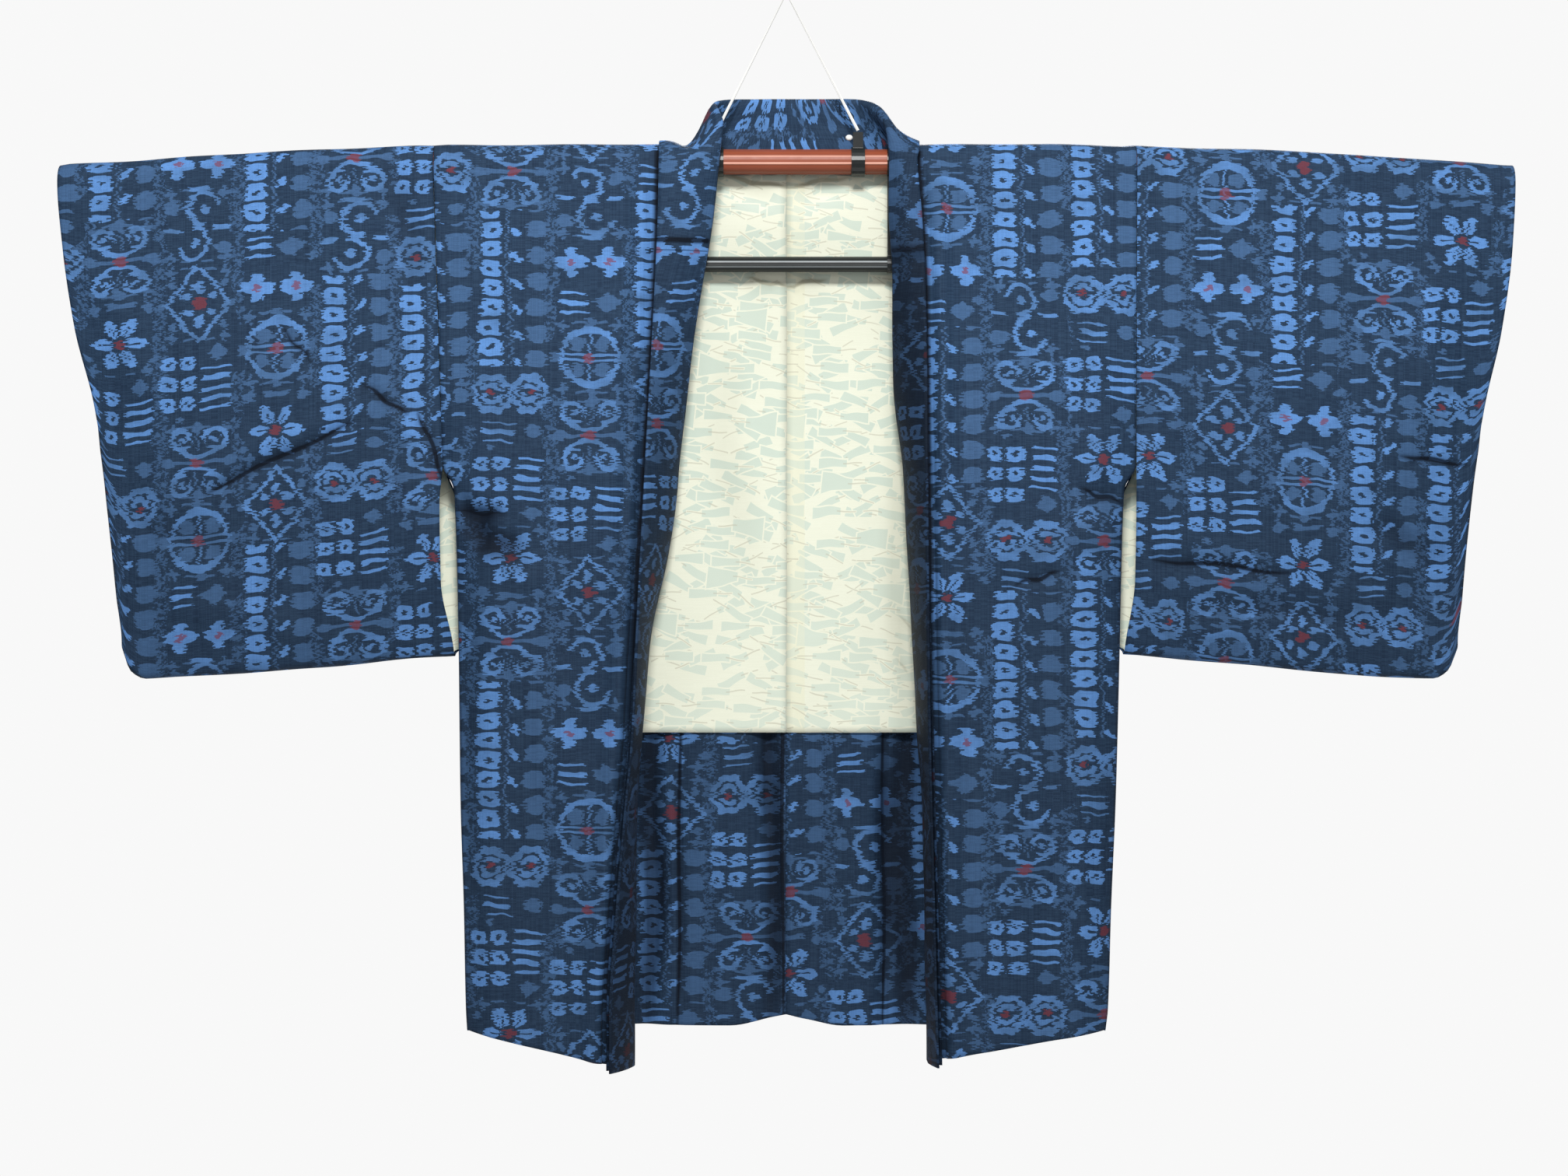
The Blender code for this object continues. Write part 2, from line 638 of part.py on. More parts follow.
def build_links(collection, cutters):
    """Straps that hang the lower bar from the upper one."""
    lower_ring = LOWER_RADIUS + BORE_PLAY + RING_WALL
    upper_ring = BAR_RADIUS + BORE_PLAY + RING_WALL
    for word, x in zip(("left", "right"), LINK_X):
        link = rod(word + "_link", upper_ring, LINK_WIDTH, (x, 0, BAR_Z), collection, BLACK)
        foot = rod(word + "_foot", lower_ring, LINK_WIDTH, (x, 0, LOWER_Z), cutters, BLACK)
        top = BAR_Z - BAR_RADIUS - STRAP_PLAY
        end = LOWER_Z + LOWER_RADIUS + STRAP_PLAY
        strap = box(word + "_strap", (LINK_WIDTH * STRAP_SHARE, STRAP_DEPTH, top - end),
                    (x, 0, (top + end) / 2), cutters, BLACK)
        combine(link, strap, "UNION")
        combine(link, foot, "UNION")
        bores = (("_upper_bore", BAR_RADIUS, BAR_Z), ("_lower_bore", LOWER_RADIUS, LOWER_Z))
        for name, radius, z in bores:
            bore = rod(word + name, radius + BORE_PLAY, CUT_LENGTH, (x, 0, z), cutters, BLACK)
            combine(link, bore, "DIFFERENCE")


def build_hook(collection, cutters):
    """Hook and the two wires under it, one body."""
    knuckle_top = BAR_Z + CLIP_RADIUS + KNUCKLE_RISE + KNUCKLE_HEIGHT / 2
    foot_z = knuckle_top + GAP + WIRE_RADIUS
    wires = tube("hook", [(CLIP_X[0], 0, foot_z), (0, 0, APEX_Z), (CLIP_X[1], 0, foot_z)],
                 WIRE_RADIUS, collection, WHITE)
    centre_z = HOOK_WIRE - HOOK_RADIUS
    path = [(0, 0, APEX_Z - HOOK_WIRE), (0, 0, centre_z - HOOK_RADIUS - STEM_LENGTH)]
    for step in range(HOOK_STEPS + 1):
        turn = math.radians(HOOK_START + HOOK_STEP * step)
        path.append((HOOK_RADIUS * math.cos(turn), 0, centre_z + HOOK_RADIUS * math.sin(turn)))
    stem = tube("stem", path, HOOK_WIRE, cutters, WHITE)
    combine(wires, stem, "UNION")


def clear_scene():
    """Remove whatever the file holds."""
    for obj in list(bpy.data.objects):
        bpy.data.objects.remove(obj, do_unlink=True)


def main():
    """Build every piece of the jacket and its hanger."""
    clear_scene()
    garment = bpy.data.collections.new("haori_jacket")
    cutters = bpy.data.collections.new("cutters")
    for collection in (garment, cutters):
        bpy.context.scene.collection.children.link(collection)
    for side in (0, 1):
        build_body(side, garment)
        build_gusset(side, garment)
        build_sleeve(side, garment)
    build_collar(garment)
    build_bars(garment)
    build_clips(garment, cutters)
    build_links(garment, cutters)
    build_hook(garment, cutters)


main()
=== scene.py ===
"""Haori jacket on a kimono hanger: the finished cloth, linings and hanger.

Every cloth piece is a thin shell on its solid's form: the same section tables
give a coarse grid, which is then refined and creased.  Tables hold millimetres
and everything else is in metres.  Left and right are those of someone who
looks at the open front.
"""
import math
from collections import namedtuple

import bpy
import numpy as np
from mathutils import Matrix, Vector


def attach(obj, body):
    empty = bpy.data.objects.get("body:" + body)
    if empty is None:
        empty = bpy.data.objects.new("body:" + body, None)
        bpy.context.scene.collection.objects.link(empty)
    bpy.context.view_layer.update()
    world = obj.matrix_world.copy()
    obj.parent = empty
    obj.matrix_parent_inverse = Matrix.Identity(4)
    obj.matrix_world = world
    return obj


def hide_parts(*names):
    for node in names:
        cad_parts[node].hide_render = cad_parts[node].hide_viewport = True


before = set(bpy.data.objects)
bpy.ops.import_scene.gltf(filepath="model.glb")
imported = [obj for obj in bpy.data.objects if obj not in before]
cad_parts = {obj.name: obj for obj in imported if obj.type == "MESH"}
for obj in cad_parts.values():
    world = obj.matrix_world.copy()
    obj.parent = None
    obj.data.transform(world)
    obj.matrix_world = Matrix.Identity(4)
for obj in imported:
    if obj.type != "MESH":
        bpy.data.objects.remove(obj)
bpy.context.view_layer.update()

bl_info = {
    "name": "Haori jacket on a hanger",
    "version": (1, 0, 0),
    "blender": (4, 5, 0),
    "location": "View3D > Sidebar > Haori",
    "description": "Builds the cloth, linings and hanger of a haori jacket",
    "category": "Object",
}

# ---- sizes and sections of the cut pieces -----------------------------------
MM = 0.001
GAP = 0.0003
BAR_RADIUS = 0.0112
BAR_Z = -0.206               # height of the upper bar's axis
BAR_HALF = 0.632
BAR_SAG = 0.019              # how far each bar end droops
BAR_STRAIGHT = 0.25          # half length of the straight middle
BAR_REACH = 0.40             # from the straight middle to the cuff
SAG_POWER = 1.6
LOWER_RADIUS = 0.0068
LOWER_Z = -0.2975
LOWER_HALF = 0.200

SHOULDER_RADIUS = 0.0157     # outer face of the cloth over the bar
BODY_WALL = 0.0020
SLEEVE_WALL = 0.0014
COLLAR_WALL = 0.0016
SEAM_GAP = 0.0003            # from the collar's middle surface to a panel edge
LINING_INSET = 0.0024        # side edge of the lining behind the panel's edge
COLLAR_TURN = 0.0025         # radius of the collar's long fold
COLLAR_BULGE = 0.003         # fullness of the band down the fronts
NECK_HOLLOW = (0.007, 0.004)  # hollow of the band over the shoulder, left and right

CORNER_RADIUS = 0.028        # rounded outer bottom corner of a sleeve
CUFF_SHRINK = 3.5            # the lining stands back more at the cuff than at the body
CUFF_OPEN = 0.48             # share of the cuff edge that is open

# ---- sections ---------------------------------------------------------------
# One row a level.  x columns are distances from the centre plane, with a left
# and a right value: seam joins panel and collar, fold is the collar's long
# fold, free its loose edge, side the outer edge of the body.  near is the
# depth of the front panel just before its seam.
Level = namedtuple("Level", "z seam fold free side seam_y fold_y free_y near_y side_y back_y")
LEVELS = (
    Level(-1007, (158.5, 137.0), (137.5, 127.5), (155.0, 133.5), (282, 282), -34, 3, -52, -43, -31, 34),
    Level(-960, (158.5, 136.0), (138.0, 127.5), (155.0, 132.0), (283, 284), -34, 4, -52, -43, -31, 34),
    Level(-870, (153.0, 133.8), (136.6, 126.8), (149.3, 129.9), (285, 287), -34, 8, -51, -42, -29, 33),
    Level(-780, (145.5, 131.5), (135.4, 124.5), (141.6, 127.6), (288, 291), -33, 10, -50, -41, -27, 32),
    Level(-717, (139.0, 130.0), (131.6, 120.2), (135.8, 126.3), (289, 293), -32, 10, -49, -39, -25, 30),
    Level(-640, (134.0, 128.0), (124.8, 116.0), (132.4, 125.4), (290, 295), -31, 9, -47, -36, -23, 28),
    Level(-560, (128.0, 126.0), (107.6, 110.4), (128.5, 124.8), (292, 297), -29, 6, -44, -32, -20, 25),
    Level(-500, (123.5, 123.0), (99.0, 107.0), (125.5, 124.6), (294.5, 299.5), -27, 2, -41, -28, -18, 23),
    Level(-478, (122.0, 122.0), (97.4, 105.6), (124.5, 124.5), (305, 310.4), -26, 0, -40, -27, -17.5, 22),
    Level(-400, (117.0, 120.0), (87.0, 96.3), (120.5, 124.2), (307.5, 310.7), -23, -6, -36, -22, -17, 20),
    Level(-320, (112.0, 117.0), (75.6, 94.5), (116.5, 123.0), (310, 311), -20, -12, -31, -18.5, -16.5, 18.5),
    Level(-260, (110.0, 113.0), (65.9, 92.8), (114.0, 120.3), (312, 311.2), -17.5, -15, -28, -16.6, -16, 17),
    Level(-206, (108.0, 110.0), (60.0, 92.0), (113.0, 116.0), (313.5, 311.4),
          -14.9, -17, -26, -15.7, -15.7, 15.7),
)
HEM_ROW = 0
ARMHOLE_ROW = 8              # the sleeve seam ends here and the gusset starts
LINING_ROW = 4               # lower edge of the cream lining
BAR_ROW = 12

# Round the neck, a row each 30 degrees over the bar, then three rows along
# the back neckline to the centre seam.  seam_y and seam_z count only there.
Neck = namedtuple("Neck", "angle seam seam_y seam_z fold fold_y fold_z free free_y free_z")
NECK = (
    Neck(30, (106, 109), 0, 0, (58, 91), (-17, -16), (-190, -190), (113, 118), -24, -197),
    Neck(60, (104, 108), 0, 0, (56, 89), (-15, -12), (-174, -175), (113, 118), -18.5, -191),
    Neck(90, (101, 106), 0, 0, (60, 84), (-7, -4), (-161, -164), (112, 116), -4, -188),
    Neck(120, (99, 104), 0, 0, (63, 78), (3, 4), (-153, -156), (107, 111), 10, -187),
    Neck(150, (96, 101), 0, 0, (60, 71), (10, 10), (-149.5, -151.5), (101, 105), 21.5, -192),
    Neck(180, (94, 100), 0, 0, (51, 62), (15, 15), (-148, -149), (94, 99), 28, -199),
    Neck(None, (85, 90), 16.1, -212, (43, 48), (17, 17), (-147.5, -148), (86, 90), 30, -204),
    Neck(None, (44, 46), 17.2, -214, (23, 25), (19.5, 19.5), (-147.5, -147.5), (45, 47), 33, -209),
    Neck(None, (0, 0), 17.7, -214.5, (0, 0), (20, 20), (-147.5, -147.5), (0, 0), 34, -210),
)
SIDE_STEP = 0.004            # side edge's fall a row along the back neckline

FRONT_HEM = ((-0.977, -1.007), (-0.977, -1.002))    # outer, inner: left, right
COLLAR_HEM = (-1.013, -1.008)
BACK_HEM = (-0.981, -0.982, -0.972)                 # side, middle, centre seam

# Edges of the sleeves by height, left and right.
Edge = namedtuple("Edge", "z cuff front back")
SLEEVE_EDGES = (
    Edge(-206, (648, 648), (314.0, 311.9), (314.0, 311.9)),
    Edge(-270, (644, 646), (312.3, 311.7), (312.3, 311.7)),
    Edge(-325, (638, 641), (310.4, 311.5), (310.4, 311.5)),
    Edge(-381, (629, 633), (308.7, 311.3), (308.7, 311.3)),
    Edge(-437, (615, 621), (306.9, 311.1), (306.9, 311.1)),
    Edge(-478, (610, 615), (305.6, 311.0), (305.6, 311.0)),
    Edge(-505, (607, 612), (308.0, 311.0), (299.0, 303.0)),
    Edge(-560, (602, 606), (310.0, 311.0), (296.5, 301.5)),
    Edge(-600, (598, 603), (305.0, 309.5), (295.5, 300.5)),
    Edge(-645, (593, 599), (296.0, 301.0), (295.0, 300.0)),
)
SLEEVE_BOTTOM = ((-0.6415, -0.6655), (-0.6400, -0.6660))   # body side, cuff side

# Half the depth of a sleeve down its length: at the body, middle and cuff.
Depth = namedtuple("Depth", "drop body middle cuff")
SLEEVE_DEPTH = (
    Depth(0.00, 15.7, 15.7, 15.7),
    Depth(0.14, 16.0, 15.8, 13.5),
    Depth(0.32, 16.5, 17.0, 11.0),
    Depth(0.48, 17.0, 18.0, 6.5),
    Depth(0.625, 17.5, 18.0, 5.5),
    Depth(0.70, 17.0, 17.0, 5.2),
    Depth(0.86, 13.0, 13.0, 5.0),
    Depth(1.00, 6.0, 6.0, 4.5),
)
SLEEVE_COLUMNS = (0.0, 0.2, 0.42, 0.64, 0.82, 0.93, 0.975, 1.0)
BOTTOM_FOLD = ((0.72, 0.55), (0.0, 1.0), (-0.72, 0.55))    # depth, drop shares

BODY_COLUMNS = (0.0, 0.07, 0.2, 0.36, 0.52, 0.68, 0.82, 0.93, 1.0)
ARC_STEPS = 6

# Soft upright waves of the body cloth, by face: height, length and phase.
Wave = namedtuple("Wave", "height length phase")
FRONT_WAVE = Wave(0.0022, 0.105, 0.6)
BACK_WAVE = Wave(0.0050, 0.118, 1.9)
GUSSET_BULGE = 0.0022
WAVE_FALL = 0.75             # below the shoulder the waves grow over this height
NECK_TUCK = 0.0002           # the back neckline lies this much inside the panel's outer face
GUSSET_UP = 0.003            # the gusset ends above the side hem
GUSSET_SHARES = (-1.0, -0.5, 0.5, 1.0)

EDGE_SHARE = 0.2             # share of a panel's width over which it leaves its side edge
BACK_SHARE = 0.9             # the back panel's wave ends here
HEM_SHARES = (0, 0.85, 1)    # where BACK_HEM's heights lie across the back
SLEEVE_SHARES = (0, EDGE_SHARE, 0.75, 1)       # where a sleeve's depths lie across it
INNER_SHARES = (0.0, 0.3, 0.65)          # points of the band's inner and outer layers
OUTER_SHARES = (0.35, 0.7, 1.0)
TURN_STEPS = 4               # and steps round its long fold

# ---- grids of the finished cloth --------------------------------------------
CLOTH_STEP = 0.0043          # grid spacing of the outer cloth
LINING_STEP = 0.006
LINING_BACK = 0.0002         # extra room between a panel and its lining
CENTRE_REACH = 0.0015        # points this near the centre plane lie on the centre seam
SEAM_CROSS = 0.0005          # how far each panel passes the centre seam
BACK_REACH = (0.0037, 0.0030)  # how much nearer the body a sleeve's back edge comes
BACK_HALF = 0.005
BACK_SPAN = (-0.490, -0.660)
CUFF_OUT = 0.0025            # fullness of the sewn part of the sleeve edge
CUFF_TAPER = 5               # reached after one part in this many of it, from each end
RIPPLE = 0.0007              # height of the faint unevenness of all the cloth
RIPPLE_DEPTH = 8             # front and back differ by this many waves a metre of depth

# The unevenness starts at another place on each piece, left and right, and the
# ikat and the lining's figures are shifted so that no two pieces look alike.
BODY_SEEDS = (1.3, 3.4)
SLEEVE_SEEDS = (2.0, 5.0)
BODY_SHIFTS = ((0.0, 0.0), (0.31, 0.12))
LINING_SHIFTS = ((0.0, 0.0), (0.40, 0.23))
SLEEVE_SHIFTS = ((0.07, 0.05), (0.27, 0.35))
GUSSET_SHIFT = (0.5, 0.1)
COLLAR_SHIFT = (0.03, 0.2)
LINING_SHRINK = 0.0012       # the sleeve lining is this much shorter

# Groove of the front panel beside the collar's free edge.
DIP_OUT = 0.0030             # its middle, beyond that edge
DIP_DEPTH = (0.0020, 0.0060)  # at the shoulder and well below it
DIP_WIDTH = 0.0045
DIP_TOP = -0.204             # the groove begins here
DIP_FADE = 0.030
DIP_FULL = -0.480
RIDGE_OUT = 0.0150           # fullness of the panel beside that groove
RIDGE_HEIGHT = 0.0045
RIDGE_WIDTH = 0.0090
UNDER_BACK = (0.0040, 0.018)  # the lining lies this far behind the groove, this wide
NEARBY = 0.020               # closeness to the free edge falls to nothing this far off
EDGE_SHADE_TOP = -0.196       # the painted dark shade line beside the collar ends at the shoulder

# How a crease of the table below is shaped and how its shade is painted.
# Millimetres where the table's own columns are meant, metres and shares otherwise.
BEND = 0.25                  # how far a crease wanders, in widths
BEND_WAVES = 9               # and how fast, in radians along its whole length
SHARP_WIDTH = 7.5            # narrower creases have a sharp bottom
SHARP_FALL = 1.3
TAPER_END = 0.35             # height left at the ends of a crease
TAPER_POWER = 0.6
SIDE_FACING = 0.2            # a crease reaches this far round a fold of the cloth
UNDER_WIDTH = 13.0           # a lining gives way to creases this broadly
FOLD_DEEP = 6.5              # a trough this deep is in full painted shade
INSIDE_SEEN = -655           # below this height the back is seen from inside
LINE_DEEP = 3.0              # a sharp crease this deep shows a full painted dark line
LINE_REACH = 0.009           # half the width over which its cross distance is marked
LINE_FALL = 1.6              # how fast the line weakens beside the crease
LINE_END = 0.006
LOW_HEIGHTS = (-1.0, -0.62, -0.35)       # painted shade: cloth lower down is a little darker
LOW_SHADE = (0.33, 0.26, 0.0)

# Creases and folds by piece and face: from x1, z1 to x2, z2,
# with a width and a height across the cloth, positive outward.
Crease = namedtuple("Crease", "piece face x1 z1 x2 z2 width height")
CREASE_ROWS = {
    ("left_sleeve", "front"): (
        (-514, -501, -389, -441, 5, -5.0), (-520, -488, -395, -430, 9, 2.5),
        (-374, -407, -338, -432, 5, -3.5), (-448, -357, -422, -385, 6, -2.0),
        (-346, -210, -330, -310, 9, -1.8), (-326, -432, -302, -495, 6, -4.0),
        (-360, -418, -312, -470, 11, 3.5), (-560, -596, -415, -628, 14, 2.5),
        (-585, -520, -480, -560, 16, -2.5), (-620, -300, -560, -420, 18, 2.0),
    ),
    ("left_sleeve", "back"): (
        (-560, -470, -400, -520, 9, -4.0), (-350, -400, -310, -480, 9, -3.5),
        (-600, -560, -450, -610, 14, 3.0),
    ),
    ("right_sleeve", "front"): (
        (327, -561, 446, -573, 7, -4.0), (330, -548, 440, -561, 11, 2.2),
        (547, -469, 606, -477, 4, -3.5), (511, -528, 600, -565, 13, -3.5),
        (500, -546, 585, -585, 14, 3.0), (340, -598, 560, -618, 11, -3.0),
        (316, -410, 372, -468, 10, 2.5), (590, -300, 560, -430, 18, 2.0),
    ),
    ("right_sleeve", "back"): (
        (380, -500, 560, -470, 9, -4.0), (316, -430, 360, -520, 9, 3.0),
        (420, -600, 580, -570, 13, -3.0),
    ),
    ("left_body", "front"): (
        (-292, -519, -250, -521, 6, -5.5), (-285, -531, -238, -553, 11, -4.0),
        (-288, -548, -212, -580, 18, 5.0), (-250, -600, -190, -760, 20, 2.5),
        (-230, -700, -225, -960, 16, -2.0), (-285, -500, -262, -508, 9, 4.0),
        (-289, -540, -281, -860, 9, -2.6), (-286, -524, -240, -566, 20, -4.5),
    ),
    ("left_body", "back"): (
        (-290, -500, -230, -560, 10, -4.0), (-96, -700, -98, -990, 3, 5.5),
        (-14, -600, -12, -990, 11, 8.0), (-3, -600, -3, -990, 3, 4.0),
        (-120, -690, -124, -990, 13, 9.0), (-200, -330, -180, -640, 20, 3.0),
    ),
    ("right_body", "front"): (
        (262, -500, 297, -510, 6, -4.5), (204, -583, 240, -573, 6, -3.5),
        (292, -520, 236, -560, 15, 4.0), (250, -640, 235, -950, 18, -2.0),
        (180, -420, 170, -700, 18, 2.0),
    ),
    ("right_body", "back"): (
        (290, -500, 240, -545, 10, -4.0), (104, -670, 106, -990, 17, 9.0), (87, -680, 88, -990, 4, 5.0),
        (72, -700, 76, -990, 9, -4.0), (12, -640, 11, -990, 8, -3.0), (210, -330, 190, -640, 20, 3.0),
    ),
    ("left_lining", "back"): (
        (0, -227, -54, -218, 5, 4.0), (-6, -238, -50, -226, 6, -3.0), (0, -316, -34, -309, 6, 4.0),
        (-60, -330, -40, -560, 18, 1.5),
    ),
    ("right_lining", "back"): (
        (0, -227, 54, -218, 5, 4.0), (6, -238, 48, -226, 6, -3.0), (0, -316, 34, -309, 6, 4.0),
        (97, -420, 103, -715, 11, 2.6), (101, -610, 112, -622, 3, 1.5), (100, -650, 110, -664, 3, 1.5),
    ),
}
CREASES = [Crease(piece, face, *row) for (piece, face), rows in CREASE_ROWS.items() for row in rows]

# Cross seams that join the band's lengths, by side and height, with the width,
# depth and painted shade of the crease; a negative depth is fullness beside a seam.
BandSeam = namedtuple("BandSeam", "side z width depth shade")
BAND_SEAMS = (
    BandSeam(-1, -278.5, 2.6, 0.8, 0.55),
    BandSeam(1, -287.0, 5.0, 1.5, 1.15),
    BandSeam(1, -296.0, 8.0, -2.0, 0.62),
)
OUTER_FROM = 0.47            # the band's outer layer begins at its fold, half way across
OUTER_SOFT = 0.04
BAND_HEIGHTS = (-1.0, -0.70, -0.45, -0.29, -0.22)     # painted shade: the band turns from the light lower down
BAND_SHADE = ((0.92, 0.84, 0.42, 0.12, 0.0), (0.96, 1.00, 0.96, 0.84, 0.25))
BAND_FRONT = 0.012           # no painted shade on the band behind this depth
# strongest painted shade on the band
BAND_DARKEST = 1.15

WING_DROP = 0.0145           # the left end of the standing collar settles on the shoulder
WING_X = -0.087
WING_WIDTH = 0.014
WING_FROM = -0.200
WING_SOFT = 0.020
COVER = 0.0015               # the right fold covers the hanger's wire
COVER_Z = -0.255
COVER_WIDTH = 0.035

# ---- colours, painted shade and painted highlights in the materials ---------
# Width and length of the threads that colours change over, in millimetres.
THREADS = {"pick": (1.1, 31.0), "fine": (0.5, 9.0), "thread": (0.6, 5.0),
           "warp": (0.7, 40.0), "weft": (0.7, 12.0)}
DRIFT = 9.0                  # how far the figures stray across, in millimetres
SWAY = 6.0                   # and up and down
LINING_SWAY = 10.0
LANE_EDGE = 25.5             # scribbled threads show beyond this, beside the figures
SCRIBBLE = 0.8
MIDDLE_SHARES = (0.62, 0.22, 0.16)       # of a figure's own, weft and warp threads
BRIGHT_SHARES = (0.74, 0.14, 0.12)
RED_SHOWS = 0.72
CLOTH_DARK = (0.82, 0.94, 0.92)          # strongest painted shade of folds, beside the collar's free edge and in crease lines
LINING_DARK = (0.75, 0.80)               # strongest painted shade of folds and of crease lines
LINE_WIDEN = 1.6
LINE_WANDER = 0.12
LINE_HALF = 0.0023           # half the width of the painted dark line in a sharp crease
EDGE_SHADE_REACH = 0.0058           # painted shade beyond the collar's free edge reaches this far
EDGE_SHADE_SOFT = 0.0034
UNDER_BAR = -0.244           # painted shadow: the lining darkens above this height, toward the bar
UNDER_BAR_SOFT = 0.030
UNDER_BAR_DARK = 0.20
HIGH_FROM = -0.480           # and painted shade darkens it very slightly above this one
HIGH_SOFT = 0.200
HIGH_GROWS = 0.16
HIGH_DARK = 0.12
PALE_FROM = -0.440           # its paddles pale below this height
PALE_SOFT = 0.260
PALEST = 0.30
PADDLE_SHOWS = 0.76          # how strongly each of these shows over the cream
NECK_SHOWS = 0.55
SEAM_SHOWS = 0.45
SEAM_TAKES = 0.25            # a paddle is this much fainter over the seam allowance
CRACK_SHOWS = 0.12
HIGHLIGHT_SOFT = 0.0005           # soft edge of the painted highlight lines along a ribbed bar
CENTRE_SEAM = (0.0005, 0.0165)   # seam allowance seen through the silk
CENTRE_CRACK = 0.0007
PLASTIC_PALER = 1.25         # flow marks are this much paler than the plastic
WIRE_COLOURS = ((0.80, 0.80, 0.77), (0.70, 0.70, 0.68))

# ---- the hanger's details ---------------------------------------------------
BEADS = (152, 196, 270, 332, 16, 90)     # raised lines, degrees round the bar from straight back
BEAD_WIDTH = 0.07
BAR_SIDES = 120
BAR_STEPS = 24               # steps along half the upper bar
LOWER_BEAD = 0.8             # the lower bar's lines are this much lower
SHARP_ANGLE = 50             # edges of a bar sharper than this stay hard, in degrees
UPPER_HIGHLIGHTS = ((0.0040, 0.0011, 0.55), (-0.0027, 0.0011, 0.90))    # painted highlights along the raised lines: height, half width, strength
LOWER_HIGHLIGHTS = ((0.0020, 0.0009, 0.95), (-0.0026, 0.0009, 0.75))
STUD_RADIUS = 0.0026
STUD_PLACE = (0.0560, -0.0050, -0.1850)
STUD_SHAPE = (1.25, 0.9, 1.0)

# ---- the stage --------------------------------------------------------------
SENSOR = 36.0                # width of the camera's sensor, in millimetres
FLOOR_Z = -1.45
FLOOR_SIZE = 2.0
FLOOR_GRAIN = 0.98
Lamp = namedtuple("Lamp", "name place target size power shiny")
LAMPS = (
    Lamp("key", (0.0, -2.1, 1.05), (0, 0, -0.50), (0.7, 0.35), 74, True),
    Lamp("fill", (0.5, -3.0, -0.2), (0, 0, -0.5), (2.0, 1.4), 15, False),
    Lamp("back", (0.4, 2.6, 1.0), (0, 0, -0.5), (1.2, 1.0), 60, True),
)


# ---- forms of the pieces ----------------------------------------------------
def offset_grid(points, distance, close=False):
    """Grid moved along its own normals, found from neighbouring points."""
    if close:
        down = np.roll(points, -1, axis=0) - np.roll(points, 1, axis=0)
    else:
        down = np.gradient(points, axis=0)
    across = np.gradient(points, axis=1)
    normal = np.cross(across, down)
    normal /= np.linalg.norm(normal, axis=2, keepdims=True)
    return points + normal * distance


def table(rows, key, column, side, at):
    """Value of a table's column at a key, straight between rows."""
    keys = [getattr(row, key) for row in rows]
    values = []
    for row in rows:
        value = getattr(row, column)
        values.append(value[side] if isinstance(value, tuple) else value)
    if keys[0] > keys[-1]:
        keys.reverse()
        values.reverse()
    return float(np.interp(at, keys, values))


def sag(x):
    """Droop of the bar, and of the cloth over it, at a distance from centre."""
    beyond = max(0.0, abs(x) - BAR_STRAIGHT) / BAR_REACH
    return BAR_SAG * beyond ** SAG_POWER


def wave(shape, x, z):
    """Upright wave that grows from nothing at the shoulder to the hem."""
    grow = min(1.0, max(0.0, (BAR_Z - z) / WAVE_FALL))
    return shape.height * grow * math.sin(2 * math.pi * x / shape.length + shape.phase)


# ---- stations: one for each row of a body panel and each collar section -----
Station = namedtuple("Station", "seam fold free side angle level")


def front_stations(side):
    """From the front hem up to the bar."""
    sign = (-1, 1)[side]
    found = []
    for index, row in enumerate(LEVELS):
        z = row.z * MM
        outer, inner = (FRONT_HEM[side] if index == HEM_ROW else (z, z))
        collar_z = COLLAR_HEM[side] if index == HEM_ROW else z
        found.append(Station(
            np.array((sign * row.seam[side] * MM, row.seam_y * MM, inner)),
            np.array((sign * row.fold[side] * MM, row.fold_y * MM, collar_z)),
            np.array((sign * row.free[side] * MM, row.free_y * MM, collar_z)),
            np.array((sign * row.side[side] * MM, row.side_y * MM, outer)),
            None, row))
    return found


def neck_stations(side):
    """Over the bar and along the back neckline to the centre seam."""
    sign = (-1, 1)[side]
    side_x = sign * LEVELS[BAR_ROW].side[side] * MM
    side_z = BAR_Z - sag(side_x)
    found = []
    steps = 0
    for row in NECK:
        if row.angle is None:
            steps += 1
            seam = np.array((sign * row.seam[side], row.seam_y, row.seam_z)) * MM
            outer = np.array((side_x, SHOULDER_RADIUS, side_z - steps * SIDE_STEP))
        else:
            turn = math.radians(row.angle)
            middle = SHOULDER_RADIUS - COLLAR_WALL / 2
            seam = np.array((sign * row.seam[side] * MM, -middle * math.cos(turn),
                             BAR_Z + middle * math.sin(turn)))
            outer = np.array((side_x, -SHOULDER_RADIUS * math.cos(turn),
                              side_z + SHOULDER_RADIUS * math.sin(turn)))
        found.append(Station(
            seam,
            np.array((sign * row.fold[side], row.fold_y[side], row.fold_z[side])) * MM,
            np.array((sign * row.free[side], row.free_y, row.free_z)) * MM,
            outer, row.angle, None))
    return found


# ---- body panels ------------------------------------------------------------
def front_row(station):
    """Front panel from its side edge to just short of the collar seam."""
    row = station.level
    near = np.array((station.seam[0], row.near_y * MM, station.seam[2]))
    points = []
    for share in BODY_COLUMNS:
        flat = station.side + (near - station.side) * share
        rise = math.sin(min(1.0, share / EDGE_SHARE) * math.pi / 2)
        flat[1] = station.side[1] + (row.near_y * MM - station.side[1]) * rise
        if share == 1.0:
            flat = station.seam.copy()
            flat[0] += math.copysign(SEAM_GAP, flat[0])
        elif share > 0:
            flat[1] += wave(FRONT_WAVE, flat[0], flat[2]) * math.sin(math.pi * share)
        points.append(flat)
    return points


